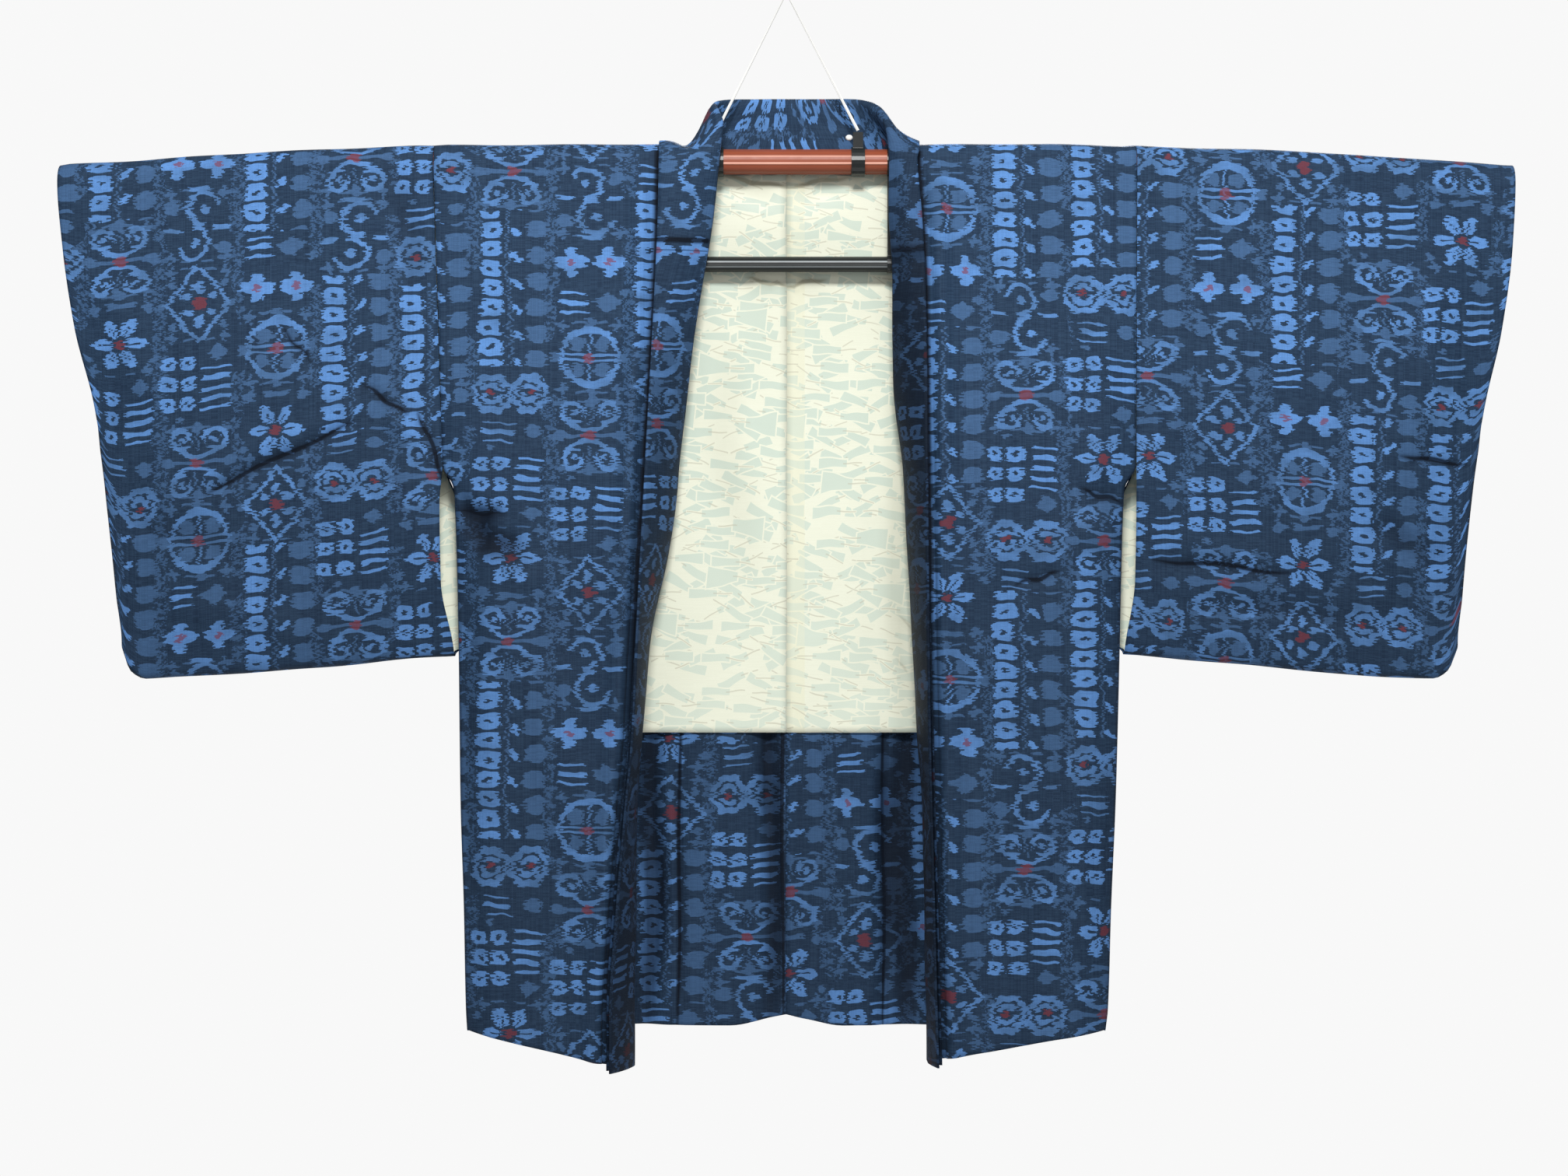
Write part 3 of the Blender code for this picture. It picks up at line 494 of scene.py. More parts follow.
def neck_row(station):
    """Panel row over the bar or along the back neckline."""
    inner = station.seam.copy()
    toward = station.side - station.seam
    if station.angle is None:
        inner += np.array((math.copysign(SEAM_GAP, toward[0]), BODY_WALL / 2 - NECK_TUCK, -SEAM_GAP))
    else:
        inner[0] += math.copysign(SEAM_GAP, toward[0])
    points = []
    for share in BODY_COLUMNS:
        point = station.side + (inner - station.side) * share
        if station.angle is not None:
            turn = math.radians(station.angle)
            point[1] = -SHOULDER_RADIUS * math.cos(turn)
            point[2] = BAR_Z - sag(point[0]) + SHOULDER_RADIUS * math.sin(turn)
        points.append(point)
    return points


def back_row(index, side):
    """Back panel from its side edge to the centre seam."""
    row = LEVELS[index]
    sign = (-1, 1)[side]
    points = []
    for share in BODY_COLUMNS:
        x = row.side[side] * MM * (1 - share) + GAP / 2 * share
        z = row.z * MM
        if index == HEM_ROW:
            z = float(np.interp(share, HEM_SHARES, BACK_HEM))
        edge = math.sin(min(1.0, share / EDGE_SHARE) * math.pi / 2)
        y = (-row.side_y + (row.back_y + row.side_y) * edge) * MM
        if 0 < share < BACK_SHARE:
            y += wave(BACK_WAVE, sign * x, z) * math.sin(math.pi * share / BACK_SHARE) ** 0.5
        points.append(np.array((sign * x, y, z)))
    return points


def body_grid(side):
    """Outer face of one body panel, front hem over the shoulder to back hem."""
    rows = [front_row(s) for s in front_stations(side)]
    rows += [neck_row(s) for s in neck_stations(side)]
    rows += [back_row(i, side) for i in range(BAR_ROW - 1, -1, -1)]
    grid = np.array(rows)
    return grid if side == 0 else grid[:, ::-1]


def collar_section(station, bulge):
    """Band folded double: seam, up to the long fold, and back to its free edge."""
    seam, fold, free = station.seam.copy(), station.fold, station.free
    if station.level is not None:
        seam[2] = fold[2]
    along = fold - (seam + free) / 2
    along /= np.linalg.norm(along)
    across = free - seam
    across -= along * across.dot(along)
    across /= np.linalg.norm(across)
    centre = fold - along * COLLAR_TURN
    points = []
    inner_end = centre - across * COLLAR_TURN
    outer_end = centre + across * COLLAR_TURN
    for share in INNER_SHARES:
        lift = across * bulge * 4 * share * (1 - share)
        points.append(seam + (inner_end - seam) * share + lift)
    for step in range(TURN_STEPS + 1):
        turn = math.pi * step / TURN_STEPS
        points.append(centre - across * COLLAR_TURN * math.cos(turn)
                      + along * COLLAR_TURN * math.sin(turn))
    for share in OUTER_SHARES:
        lift = across * bulge * 4 * share * (1 - share)
        points.append(outer_end + (free - outer_end) * share + lift)
    return points


def sleeve_ring(side, share, shrink):
    """Closed ring of a sleeve, from the top down the front and up the back."""
    sign = (-1, 1)[side]
    drops = [row.drop for row in SLEEVE_DEPTH]
    start, end = SLEEVE_BOTTOM[side]
    length = -(start + (end - start) * share) + BAR_Z

    def place(drop, face):
        nominal = (BAR_Z - drop * length) / MM
        column = ("front", "back")[face]
        body = table(SLEEVE_EDGES, "z", column, side, nominal) * MM
        cuff = table(SLEEVE_EDGES, "z", "cuff", side, nominal) * MM
        body += shrink
        cuff -= shrink * CUFF_SHRINK
        x = body + (cuff - body) * share
        to_cuff = (1 - share) * (cuff - body)
        rise = 0.0
        if to_cuff < CORNER_RADIUS:
            rise = CORNER_RADIUS - math.sqrt(CORNER_RADIUS ** 2 - (CORNER_RADIUS - to_cuff) ** 2)
        top = BAR_Z - sag(x)
        bottom = start + (end - start) * share + rise
        z = top + (bottom - top) * drop
        body_d = table(SLEEVE_DEPTH, "drop", "body", side, drop)
        middle_d = table(SLEEVE_DEPTH, "drop", "middle", side, drop)
        cuff_d = table(SLEEVE_DEPTH, "drop", "cuff", side, drop)
        depth = float(np.interp(share, SLEEVE_SHARES, (body_d, middle_d, middle_d, cuff_d))) * MM
        return sign * x, depth, z

    ring = []
    for step in range(ARC_STEPS, -1, -1):
        turn = math.pi * step / ARC_STEPS
        face = 1 if step > ARC_STEPS / 2 else 0
        x, depth, z = place(0.0, face)
        ring.append((x, -depth * math.cos(turn), z + depth * math.sin(turn)))
    for drop in drops[1:]:
        x, depth, z = place(drop, 0)
        ring.append((x, -depth, z))
    fold_x, fold_depth, fold_z = place(1.0, 0)
    back_x = place(1.0, 1)[0]
    for depth_share, drop_share in BOTTOM_FOLD:
        x = fold_x + (back_x - fold_x) * (1 - depth_share) / 2
        ring.append((x, -fold_depth * depth_share, fold_z - fold_depth * drop_share))
    for drop in drops[:0:-1]:
        x, depth, z = place(drop, 1)
        ring.append((x, depth, z))
    return ring


def surface(points, close=False):
    """Mesh of a grid of points, rows by columns; close joins last row to first."""
    rows, columns = points.shape[:2]
    verts = [tuple(p) for p in points.reshape(-1, 3)]
    faces = []
    for r in range(rows if close else rows - 1):
        below = (r + 1) % rows
        for c in range(columns - 1):
            faces.append((r * columns + c, r * columns + c + 1,
                          below * columns + c + 1, below * columns + c))
    return verts, faces


def collar_rows():
    """Sections from the left hem round the neck to the right hem."""
    rows = []
    sides = (front_stations(0) + neck_stations(0), front_stations(1) + neck_stations(1))
    for side, stations in enumerate(sides):
        sections = []
        for station in stations:
            bulge = COLLAR_BULGE
            if station.angle is not None:
                bulge = -NECK_HOLLOW[side] * math.sin(math.radians(station.angle)) ** 3
            sections.append(collar_section(station, bulge))
        rows += sections if side == 0 else sections[-2::-1]
    return rows


def settled(grid):
    """Collar with its left end settled and its right fold over the wire."""
    x, z = grid[:, :, 0], grid[:, :, 2]
    near = np.exp(-((x - WING_X) / WING_WIDTH) ** 2)
    moved = grid.copy()
    moved[:, :, 2] -= WING_DROP * near * np.clip((z - WING_FROM) / WING_SOFT, 0, 1)
    cover = COVER * np.exp(-((z - COVER_Z) / COVER_WIDTH) ** 2) * (grid[:, :, 1] < 0)
    share = np.linspace(0, 1, grid.shape[1])[None, :]
    moved[:, :, 0] -= cover * (x > 0) * np.sin(np.pi * share)
    return moved


def band_seams(grid):
    """Band drawn in at its cross seams, and its marks for painted shade."""
    normals = offset_grid(grid, 1.0) - grid
    lift = ripple(grid, 0.7) * edge_fade(grid.shape)
    share = np.linspace(0, 1, grid.shape[1])[None, :]
    outer = np.clip((share - OUTER_FROM) / OUTER_SOFT, 0, 1)
    shade, near = np.zeros_like(lift), np.zeros_like(lift)
    cross = np.ones_like(lift)
    # painted shade where the band turns from the light, and in its cross seams
    for sign, tones in ((-1, BAND_SHADE[0]), (1, BAND_SHADE[1])):
        here = (grid[:, :, 0] * sign > 0) & (grid[:, :, 1] < BAND_FRONT)
        shade += np.interp(grid[:, :, 2], BAND_HEIGHTS, tones) * here
    for row in BAND_SEAMS:
        above = grid[:, :, 2] - row.z * MM
        here = (grid[:, :, 0] * row.side > 0) * (grid[:, :, 1] < 0) * outer
        drawn = np.exp(-(above / (row.width * MM)) ** 2) * here
        lift -= row.depth * MM * drawn
        shade = np.maximum(shade, drawn * row.shade)
        if row.depth > 0:
            close = (np.abs(above) < LINE_REACH) * here
            cross = np.where(close > 0, above / LINE_REACH, cross)
            near = np.maximum(near, close)
    marks = {"Fold": np.minimum(shade, BAND_DARKEST), "Cross": cross, "Near": near}
    return grid + normals * lift[:, :, None], marks


def along(points):
    """Running length of a grid's rows, averaged over its columns."""
    steps = np.linalg.norm(np.diff(points, axis=0), axis=2).mean(axis=1)
    return np.concatenate(([0.0], np.cumsum(np.maximum(steps, 1e-6))))


def smooth_rows(points, keys, at):
    """Smooth curve through rows that never overshoots a row's value."""
    gap = np.diff(keys)[:, None, None]
    slope = np.diff(points, axis=0) / gap
    tangent = np.zeros_like(points)
    tangent[0], tangent[-1] = slope[0], slope[-1]
    before, after = slope[:-1], slope[1:]
    same = before * after > 0
    total = np.where(same, before + after, 1.0)
    tangent[1:-1] = np.where(same, 2 * before * after / total, 0.0)
    index = np.clip(np.searchsorted(keys, at, side="right") - 1, 0, len(keys) - 2)
    width = (keys[index + 1] - keys[index])[:, None, None]
    t = ((at - keys[index])[:, None, None]) / width
    low, high = points[index], points[index + 1]
    return (low * (2 * t ** 3 - 3 * t ** 2 + 1) + high * (3 * t ** 2 - 2 * t ** 3)
            + tangent[index] * width * (t ** 3 - 2 * t ** 2 + t)
            + tangent[index + 1] * width * (t ** 3 - t ** 2))


def refine_rows(points, step, close=False):
    """Finer rows, with a whole number of steps between the old ones."""
    count = len(points)
    padded = np.concatenate((points[-3:], points, points[:3])) if close else points
    keys = along(padded)
    start = 3 if close else 0
    spans = count if close else count - 1
    marks, at = [], []
    for index in range(spans):
        low, high = keys[start + index], keys[start + index + 1]
        parts = max(1, round((high - low) / step))
        marks.append(len(at))
        at.extend(low + (high - low) * k / parts for k in range(parts))
    if not close:
        marks.append(len(at))
        at.append(keys[-1])
    return smooth_rows(padded, keys, np.array(at)), marks


def refine(points, step, close=False):
    """Finer grid, and where its old rows are now."""
    fine, marks = refine_rows(points, step, close)
    turned, _ = refine_rows(fine.transpose(1, 0, 2), step)
    return turned.transpose(1, 0, 2), marks


def crease_lift(piece, points, normals, under=False):
    """How far each point moves out along its normal, and marks of the creases.

    Cloth under another one only gives way to its troughs, and broadly.  Of the
    marks, the first is shade painted into the troughs; Cross and Near tell how far across the nearest
    sharp crease a point lies and how strong that crease is there, for a painted dark line along it.
    """
    shape = points.shape[:2]
    lift, fold, near = np.zeros(shape), np.zeros(shape), np.zeros(shape)
    cross, nearest = np.ones(shape), np.full(shape, np.inf)
    for row in CREASES:
        if row.piece != piece or (under and row.height > 0):
            continue
        width = (max(row.width, UNDER_WIDTH) if under else row.width) * MM
        start = np.array((row.x1, row.z1)) * MM
        run = np.array((row.x2, row.z2)) * MM - start
        reach = np.linalg.norm(run)
        run /= reach
        flat = points[:, :, (0, 2)] - start
        down = flat @ run
        share = np.clip(down / reach, 0, 1)
        over = np.maximum(0, np.maximum(-down, down - reach))
        bend = BEND * row.width * MM * np.sin(share * BEND_WAVES + row.x1)
        across = flat @ np.array((-run[1], run[0])) + bend
        far = np.sqrt(across ** 2 + over ** 2) / width
        sharp = row.width < SHARP_WIDTH and not under
        crest = np.exp(-SHARP_FALL * far) if sharp else np.exp(-far ** 2)
        arch = np.sin(np.pi * np.clip(share, 0.02, 0.98)) ** TAPER_POWER
        taper = TAPER_END + (1 - TAPER_END) * arch
        toward = -normals[:, :, 1] if row.face == "front" else normals[:, :, 1]
        side = toward > -SIDE_FACING
        lift += row.height * MM * crest * taper * side
        inside = row.face == "back" and (row.z2 < INSIDE_SEEN or "lining" in piece)
        deep = row.height if inside else -row.height
        # painted shade of the trough, read by the cloth's colour
        fold += max(0, deep) / FOLD_DEEP * np.exp(-far ** 2) * taper * side
        if sharp and deep > 0:
            closer = (far * width < nearest) & side
            strong = np.clip(LINE_FALL * (1 - np.abs(across) / LINE_REACH), 0, 1)
            strong = strong * np.clip(1 - over / LINE_END, 0, 1)
            nearest = np.where(closer, far * width, nearest)
            cross = np.where(closer, np.clip(across / LINE_REACH, -1, 1), cross)
            near = np.where(closer, strong * min(1, deep / LINE_DEEP) * taper, near)
    return lift, {"Fold": np.clip(fold, 0, 1), "Cross": cross, "Near": near}


def ripple(points, seed):
    """Faint unevenness of hanging cloth."""
    x, z = points[:, :, 0], points[:, :, 2]
    y = points[:, :, 1] * RIPPLE_DEPTH
    waves = (np.sin(31 * x + 9 * z + seed) * np.sin(17 * z - 6 * x + 2 * seed + y)
             + 0.6 * np.sin(63 * x - 21 * z + 3 * seed + y) * np.sin(41 * z + 1.7 * seed))
    return waves * RIPPLE


def edge_fade(shape, columns=3):
    """One inside a grid and nothing at its side edges, so that seams stay shut."""
    over = np.minimum(1, np.arange(shape[1]) / columns)
    return np.minimum(over, over[::-1])[None, :]


def seam_dip(grid, normals, side, under=False):
    """Groove of the front panel along the free edge of the collar, and closeness to that edge, which sets a
    painted shade line in the groove.
    """
    heights = [row.z * MM for row in LEVELS]
    edges = [row.free[side] * MM for row in LEVELS]
    z = grid[:, :, 2]
    beyond = np.abs(grid[:, :, 0]) - np.interp(z, heights, edges)
    front = (normals[:, :, 1] < SIDE_FACING) & (grid[:, :, 1] < 0)
    start = np.clip((DIP_TOP - z) / DIP_FADE, 0, 1) * front
    depth = np.interp(z, (DIP_FULL, DIP_TOP), DIP_DEPTH[::-1])
    if under:
        back, width = UNDER_BACK
        past = np.maximum(beyond - DIP_OUT, 0) / width
        return -(depth + back) * np.exp(-past ** 2) * np.minimum(1, start * 2), None
    trough = np.exp(-((beyond - DIP_OUT) / DIP_WIDTH) ** 2)
    full = (beyond - RIDGE_OUT) / RIDGE_WIDTH
    lift = (RIDGE_HEIGHT * np.exp(-full ** 2) - depth * trough) * start
    # closeness to the free edge, used only to paint a dark shade line into the groove
    close = np.clip(1 - beyond / NEARBY, 0, 1)
    return lift, np.where(front & (z < EDGE_SHADE_TOP), close, 0)


def creased(pieces, grid, seed, close=False, own=None, dip=None, under=False):
    """Grid moved by its piece's creases and ripples, and its marks for painted shade."""
    normals = offset_grid(grid, 1.0, close) - grid
    fade = edge_fade(grid.shape)
    lift, marks = crease_lift(pieces, grid, normals, under)
    if under:
        marks = {}
    if own:
        pressed, marks = crease_lift(own, grid, normals)
        lift -= pressed
    if not under:
        # painted shade: the cloth darkens lower down
        low = np.interp(grid[:, :, 2], LOW_HEIGHTS, LOW_SHADE)
        marks["Fold"] = np.maximum(marks["Fold"], low)
    lift = (lift + ripple(grid, seed)) * fade
    if dip is not None:
        groove, closeness = seam_dip(grid, normals, dip, under)
        if not under:
            groove *= edge_fade(grid.shape, columns=1)
            marks["Seam"] = closeness
        lift += groove
    return grid + normals * lift[:, :, None], marks


def over_bar(grid):
    """Way down the cloth from the top of the shoulder: front below zero, back above."""
    drop = BAR_SAG * (np.maximum(0, np.abs(grid[:, :, 0]) - BAR_STRAIGHT) / BAR_REACH) ** SAG_POWER
    height = grid[:, :, 2] - (BAR_Z - drop)
    depth = grid[:, :, 1]
    turn = np.arctan2(np.maximum(height, 0), np.abs(depth) + 1e-6)
    fall = SHOULDER_RADIUS * (math.pi / 2 - turn) - np.minimum(height, 0)
    return np.where(depth < 0, -fall, fall)


def pattern_map(grid, kind):
    """Pattern coordinates in metres: u across the cloth, v along its length."""
    if kind == "panel":
        return grid[:, :, 0], over_bar(grid)
    if kind == "gusset":
        return grid[:, :, 1], grid[:, :, 2]
    if kind == "ring":
        return grid[:, :, 0], np.repeat(along(grid)[:, None], grid.shape[1], axis=1)
    widths = np.linalg.norm(np.diff(grid, axis=1), axis=2)
    u = np.concatenate((np.zeros((grid.shape[0], 1)), np.cumsum(widths, axis=1)), axis=1)
    return u, np.repeat(along(grid)[:, None], grid.shape[1], axis=1)


def smooth_object(name, verts, faces, made):
    """Smooth mesh object of one material."""
    mesh = bpy.data.meshes.new(name)
    mesh.from_pydata(verts, [], faces)
    mesh.shade_smooth()
    mesh.materials.append(made)
    piece = bpy.data.objects.new(name, mesh)
    bpy.context.collection.objects.link(piece)
    return piece


def make_cloth(name, verts, faces, uv, wall, made, offset=-1.0, wrap=None, shading=()):
    """A finished sheet: mesh, pattern map, marks for painted shade, wall and material.

    wrap gives, for a closed tube, its columns, the first point of its last
    row and how much longer the pattern is there than at its first row.
    """
    piece = smooth_object(name, verts, faces, made)
    mesh = piece.data
    layer = mesh.uv_layers.new(name="Pattern")
    for face in mesh.polygons:
        closing = False
        if wrap:
            columns, last_row, longer = wrap
            corners = list(face.vertices)
            closing = min(corners) < columns and last_row <= max(corners) < last_row + columns
        for index in face.loop_indices:
            vertex = mesh.loops[index].vertex_index
            u, v = uv[vertex]
            if closing and vertex < columns:
                v += longer
            layer.data[index].uv = (u, v)
    for title in shading:
        mark = mesh.attributes.new(title, "FLOAT", "POINT")
        for index, value in enumerate(shading[title].ravel()):
            mark.data[index].value = value
    solid = piece.modifiers.new("wall", "SOLIDIFY")
    solid.thickness = wall
    solid.offset = offset
    solid.use_quality_normals = True
    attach(piece, "root")
    return piece


def uv_list(u, v, shift):
    """Pattern coordinates a point, moved so that no two pieces start alike."""
    return [(a + shift[0], b + shift[1]) for a, b in zip(u.ravel(), v.ravel())]


# ---- shader maths -----------------------------------------------------------
class Value:
    """A socket that takes part in Python expressions by adding Math nodes."""

    def __init__(self, tree, socket):
        self.tree = tree
        self.socket = socket

    def math(self, operation, *others, clamp=False):
        """This value and others taken through one Math node."""
        made = self.tree.nodes.new("ShaderNodeMath")
        made.operation = operation
        made.use_clamp = clamp
        for slot, item in zip(made.inputs, (self, *others)):
            if isinstance(item, Value):
                self.tree.links.new(item.socket, slot)
            else:
                slot.default_value = item
        return Value(self.tree, made.outputs[0])

    def __add__(self, other):
        return self.math("ADD", other)

    __radd__ = __add__

    def __mul__(self, other):
        return self.math("MULTIPLY", other)

    __rmul__ = __mul__

    def __sub__(self, other):
        return self.math("SUBTRACT", other)

    def __rsub__(self, other):
        return (self * -1.0) + other

    def __abs__(self):
        return self.math("ABSOLUTE")

    def __lt__(self, other):
        return self.math("LESS_THAN", other)

    def __gt__(self, other):
        return self.math("GREATER_THAN", other)

    def clamped(self):
        """This value kept between nothing and one."""
        return self.math("MULTIPLY", 1.0, clamp=True)

    def floor(self):
        """Whole number at or below this value."""
        return self.math("FLOOR")

    def wrap(self, half):
        """Folded into the range from -half to half."""
        return self.math("WRAP", half, -half)

    def highest(self, other):
        """The larger of two values."""
        return self.math("MAXIMUM", other)

    def lowest(self, other):
        """The smaller of two values."""
        return self.math("MINIMUM", other)


class Shader:
    """Builds one node material."""

    def __init__(self, name, rough, **constants):
        self.material = bpy.data.materials.new(name)
        self.material.use_nodes = True
        self.tree = self.material.node_tree
        self.principled = self.tree.nodes["Principled BSDF"]
        self.principled.inputs["Roughness"].default_value = rough
        for socket, value in constants.items():
            self.principled.inputs[socket.replace("_", " ")].default_value = value

    def node(self, kind, settings=None, sockets=None, out=0):
        """One output of a new node, with its settings and sockets filled in."""
        made = self.tree.nodes.new(kind)
        for key, value in (settings or {}).items():
            setattr(made, key, value)
        for key, value in (sockets or {}).items():
            if isinstance(value, Value):
                self.tree.links.new(value.socket, made.inputs[key])
            else:
                made.inputs[key].default_value = value
        return Value(self.tree, made.outputs[out])

    def mix(self, share, low, high):
        """Colour mix; share is a value, low and high are colours or links."""
        return self.node("ShaderNodeMix", {"data_type": "RGBA"}, {0: share, 6: low, 7: high}, out=2)

    def parts(self, vector):
        """x, y and z of a vector."""
        made = self.tree.nodes.new("ShaderNodeSeparateXYZ")
        self.tree.links.new(vector.socket, made.inputs[0])
        return [Value(self.tree, made.outputs[i]) for i in range(3)]

    def join(self, x, y, z=0.0):
        """Vector of three values."""
        return self.node("ShaderNodeCombineXYZ", None, {0: x, 1: y, 2: z})

    def pattern(self):
        """u and v of the piece's own pattern map."""
        return self.parts(self.node("ShaderNodeUVMap", {"uv_map": "Pattern"}))[:2]

    def place(self):
        """Object coordinates."""
        return self.node("ShaderNodeTexCoord", out=3)

    def attribute(self, name):
        """Mark carried by the points of a piece."""
        return self.node("ShaderNodeAttribute", {"attribute_name": name}, out=2)

    def noise(self, vector, scale, detail=2.0):
        """Smooth noise at a place."""
        return self.node("ShaderNodeTexNoise", None, {"Vector": vector, "Scale": scale, "Detail": detail})

    def feed(self, socket, value):
        """Link a value to a socket of the finish."""
        self.tree.links.new(value.socket, self.principled.inputs[socket])

    def bump(self, height, strength, distance):
        """Fine relief from a height."""
        made = self.tree.nodes.new("ShaderNodeBump")
        made.inputs["Strength"].default_value = strength
        made.inputs["Distance"].default_value = distance
        self.tree.links.new(height.socket, made.inputs["Height"])
        self.tree.links.new(made.outputs[0], self.principled.inputs["Normal"])


# ---- the ikat cloth ---------------------------------------------------------
# The figures stand in square cells, four lanes wide and six cells deep before
# they repeat, with a half drop from one repeat to the next.  Millimetres.
CELL = 60.0
LANE_DROP = 23.0             # how much lower each lane starts than the last
FIGURES = ("wheel", "scrolls", "diamond", "rosettes", "ladder", "studs", "blossoms", "flower", "vine")
LANES = (
    ("ladder", "ladder", "scrolls", "flower", "studs", "rosettes"),
    ("wheel", "blossoms", "vine", "diamond", "studs", "scrolls"),
    ("diamond", "ladder", "ladder", "blossoms", "wheel", "flower"),
    ("rosettes", "studs", "scrolls", "vine", "ladder", "ladder"),
)
LANE_COUNT = len(LANES)
ROW_COUNT = len(LANES[0])
RAMP_STEPS = 16              # steps of grey that tell the figures apart
HALF = 0.5


def length(x, y):
    """Distance from the origin."""
    return (x * x + y * y).math("SQRT")


def ring(far, radius, half_width):
    """Band at a distance from a centre."""
    return abs(far - radius) < half_width


def block(x, y, half_x, half_y):
    """Filled oblong."""
    return (abs(x) - half_x).highest(abs(y) - half_y) < 0.0


def pebble(x, y, half_x, half_y):
    """Filled oblong with rounded corners."""
    return (x * (1 / half_x)).math("POWER", 4.0) + (y * (1 / half_y)).math("POWER", 4.0) < 1.0


def joined(total, mask):
    """Union of the masks so far, if any, and one more."""
    return mask if total is None else total.highest(mask)


def either(*masks):
    """Union of masks."""
    total = None
    for mask in masks:
        total = joined(total, mask)
    return total


def bars(x, y, half_x, count_half, spacing=8.0):
    """Stack of short slanting bars."""
    slant = y + x * 0.10
    return block(x, slant.wrap(spacing / 2), half_x, 1.9) * (abs(slant) < count_half)


def draw_wheel(x, y):
    """Wheel with a cross of spokes, lobes and leaves."""
    far = length(x, y)
    rim = ring(far, 21.5, abs(y) * 0.085 + 1.1)
    spokes = ring(abs(y), 2.3, 1.0) * (abs(x) < 24.5)
    upright = block(x, y, 0.9, 20)
    lobes = length(abs(x) - 9.5, abs(y) - 9.8) < 5.6
    leaves = length(abs(x) - 27.5, y * 1.1) < 4.6
    buds = length(x, abs(y) - 27.0) < 3.6
    return either(rim, spokes, upright), either(lobes, leaves, buds), far < 4.2


def draw_scrolls(x, y):
    """Four scrolls round a small disc."""
    ax, ay = abs(x), abs(y)
    curl_far = length(ax - 13.5, ay - 17.5)
    notch = block(ax - 9.0, ay - 14.5, 3.4, 2.6)
    curls = either(ring(curl_far, 7.2, 1.9) * (1 - notch), length(ax - 12.0, ay - 17.0) < 2.4)
    arcs = ring(length(ax - 1.0, ay - 23.5), 19.0, 1.5) * (ay < 16.0)
    buds = abs(x) * 1.1 + abs(ay - 26.0) < 6.4
    stem = block(x, ay - 14.0, 0.8, 6.0)
    arms = either(block(x, y, 22.0, 1.5), length((ax - 24.0) * 0.62, y) < 3.8)
    return either(curls, arcs), either(buds, stem, arms), length(x, y * 1.15) < 4.6


def draw_diamond(x, y):
    """Diamond with petals and knobs."""
    ax, ay = abs(x), abs(y)
    edge = ring(ax * 1.14 + ay, 28.0, 2.2)
    petals = either(length(ax * 1.3, (ay - 12.5) * 0.9) < 4.4,
                    length((ax - 9.5) * 0.95, (ay - 6.0) * 1.3) < 3.9)
    knobs = length(ax - 19.5, ay - 15.5) < 3.3
    side = length((ax - 27.5), y * 1.2) < 3.0
    return either(edge, petals), either(knobs, side), length(x, y) < 4.9


def draw_rosettes(x, y):
    """Two scalloped rosettes over slanting bars."""
    ax, up = abs(x) - 14.6, y - 9.0
    angle = up.math("ARCTAN2", ax)
    far = length(ax, up) + (angle * 8.0).math("COSINE") * 0.9
    band = ring(far, 12.6, abs(up) * 0.10 + 1.6)
    inner = ring(length(ax, up), 6.2, 2.0) * (abs(up - 1.5) > 1.3)
    low = bars(x + 9.0, y + 20.5, 10.5, 7.5)
    blob = length(x - 17.0, (y + 20.0) * 1.2) < 6.4
    return either(band, inner, low), blob, length(ax - 1.0, up - 1.0) < 2.5


def draw_ladder(x, y):
    """Ladder of rungs, leaves and blobs that runs on through the cells."""
    step = y.wrap(7.5)
    rung = pebble(x + 16.0, step, 8.4, 6.3) * (length((x + 16.0) * 0.75, step) > 1.9)
    leaf_step = (y + 4.0).wrap(10.0)
    leaf = length((x - 3.5) * 0.8, leaf_step + x * 0.75) < 3.1
    stalk = abs(x + 2.2 + (y * 0.8).math("SINE") * 0.6) < 0.8
    blob_step = (y + 5.0).wrap(10.0)
    blob = pebble(x - 19.0, blob_step, 7.8, 7.0) * ((x - 19.0) * (x - 19.0) * 0.05 + abs(blob_step) < 7.4)
    return either(rung, leaf), either(blob, stalk), None


def draw_studs(x, y):
    """Two columns of studs beside short bars."""
    ax = abs(x + 15.5) - 7.6
    step = y.wrap(7.8)
    stud = pebble(ax, step, 5.6, 5.4) * (length(ax, step * 0.8) > 1.7) * (abs(y) < 23.4)
    short = bars(x - 14.0, y - 4.0, 10.5, 16.0)
    blob = either(abs(x - 15.0) * 0.8 + abs(y + 23.0) < 6.4, length(x + 15.0, y - 28.0) < 2.6)
    return either(stud, short), blob, None


def draw_blossoms(x, y):
    """Two cross-shaped blossoms over slanting bars."""
    ax, up = abs(x) - 14.8, y - 13.0
    petal = either(pebble(ax, up, 4.6, 11.4), pebble(ax, up, 12.2, 4.4))
    low = bars(x + 13.0, y + 18.0, 9.5, 8.0)
    blob = abs(x - 12.0) * 0.7 + abs(y + 18.0) < 8.0
    leaf = length((x - 25.0) * 0.8, y + 10.0) < 2.8
    return either(petal, low), either(blob, leaf), length(ax, up) < 2.9


def draw_flower(x, y):
    """Flower of six petals with dark veins."""
    far = length(x, y - 3.0)
    angle = (y - 3.0).math("ARCTAN2", x)
    waves = (angle * 6.0).math("COSINE")
    petals = (far < waves * 5.0 + 16.5) * (far > 5.8) * (waves > -0.55)
    vein = (abs(waves - 1.0) < 0.05) * (far < 15.0)
    low = either(length(abs(x) - 21.0, y + 23.0) < 3.8, bars(x, y + 25.0, 10.0, 3.8))
    side = length(abs(x) - 26.0, y - 16.0) < 3.0
    return petals * (1 - vein), either(low, side), far < 3.4


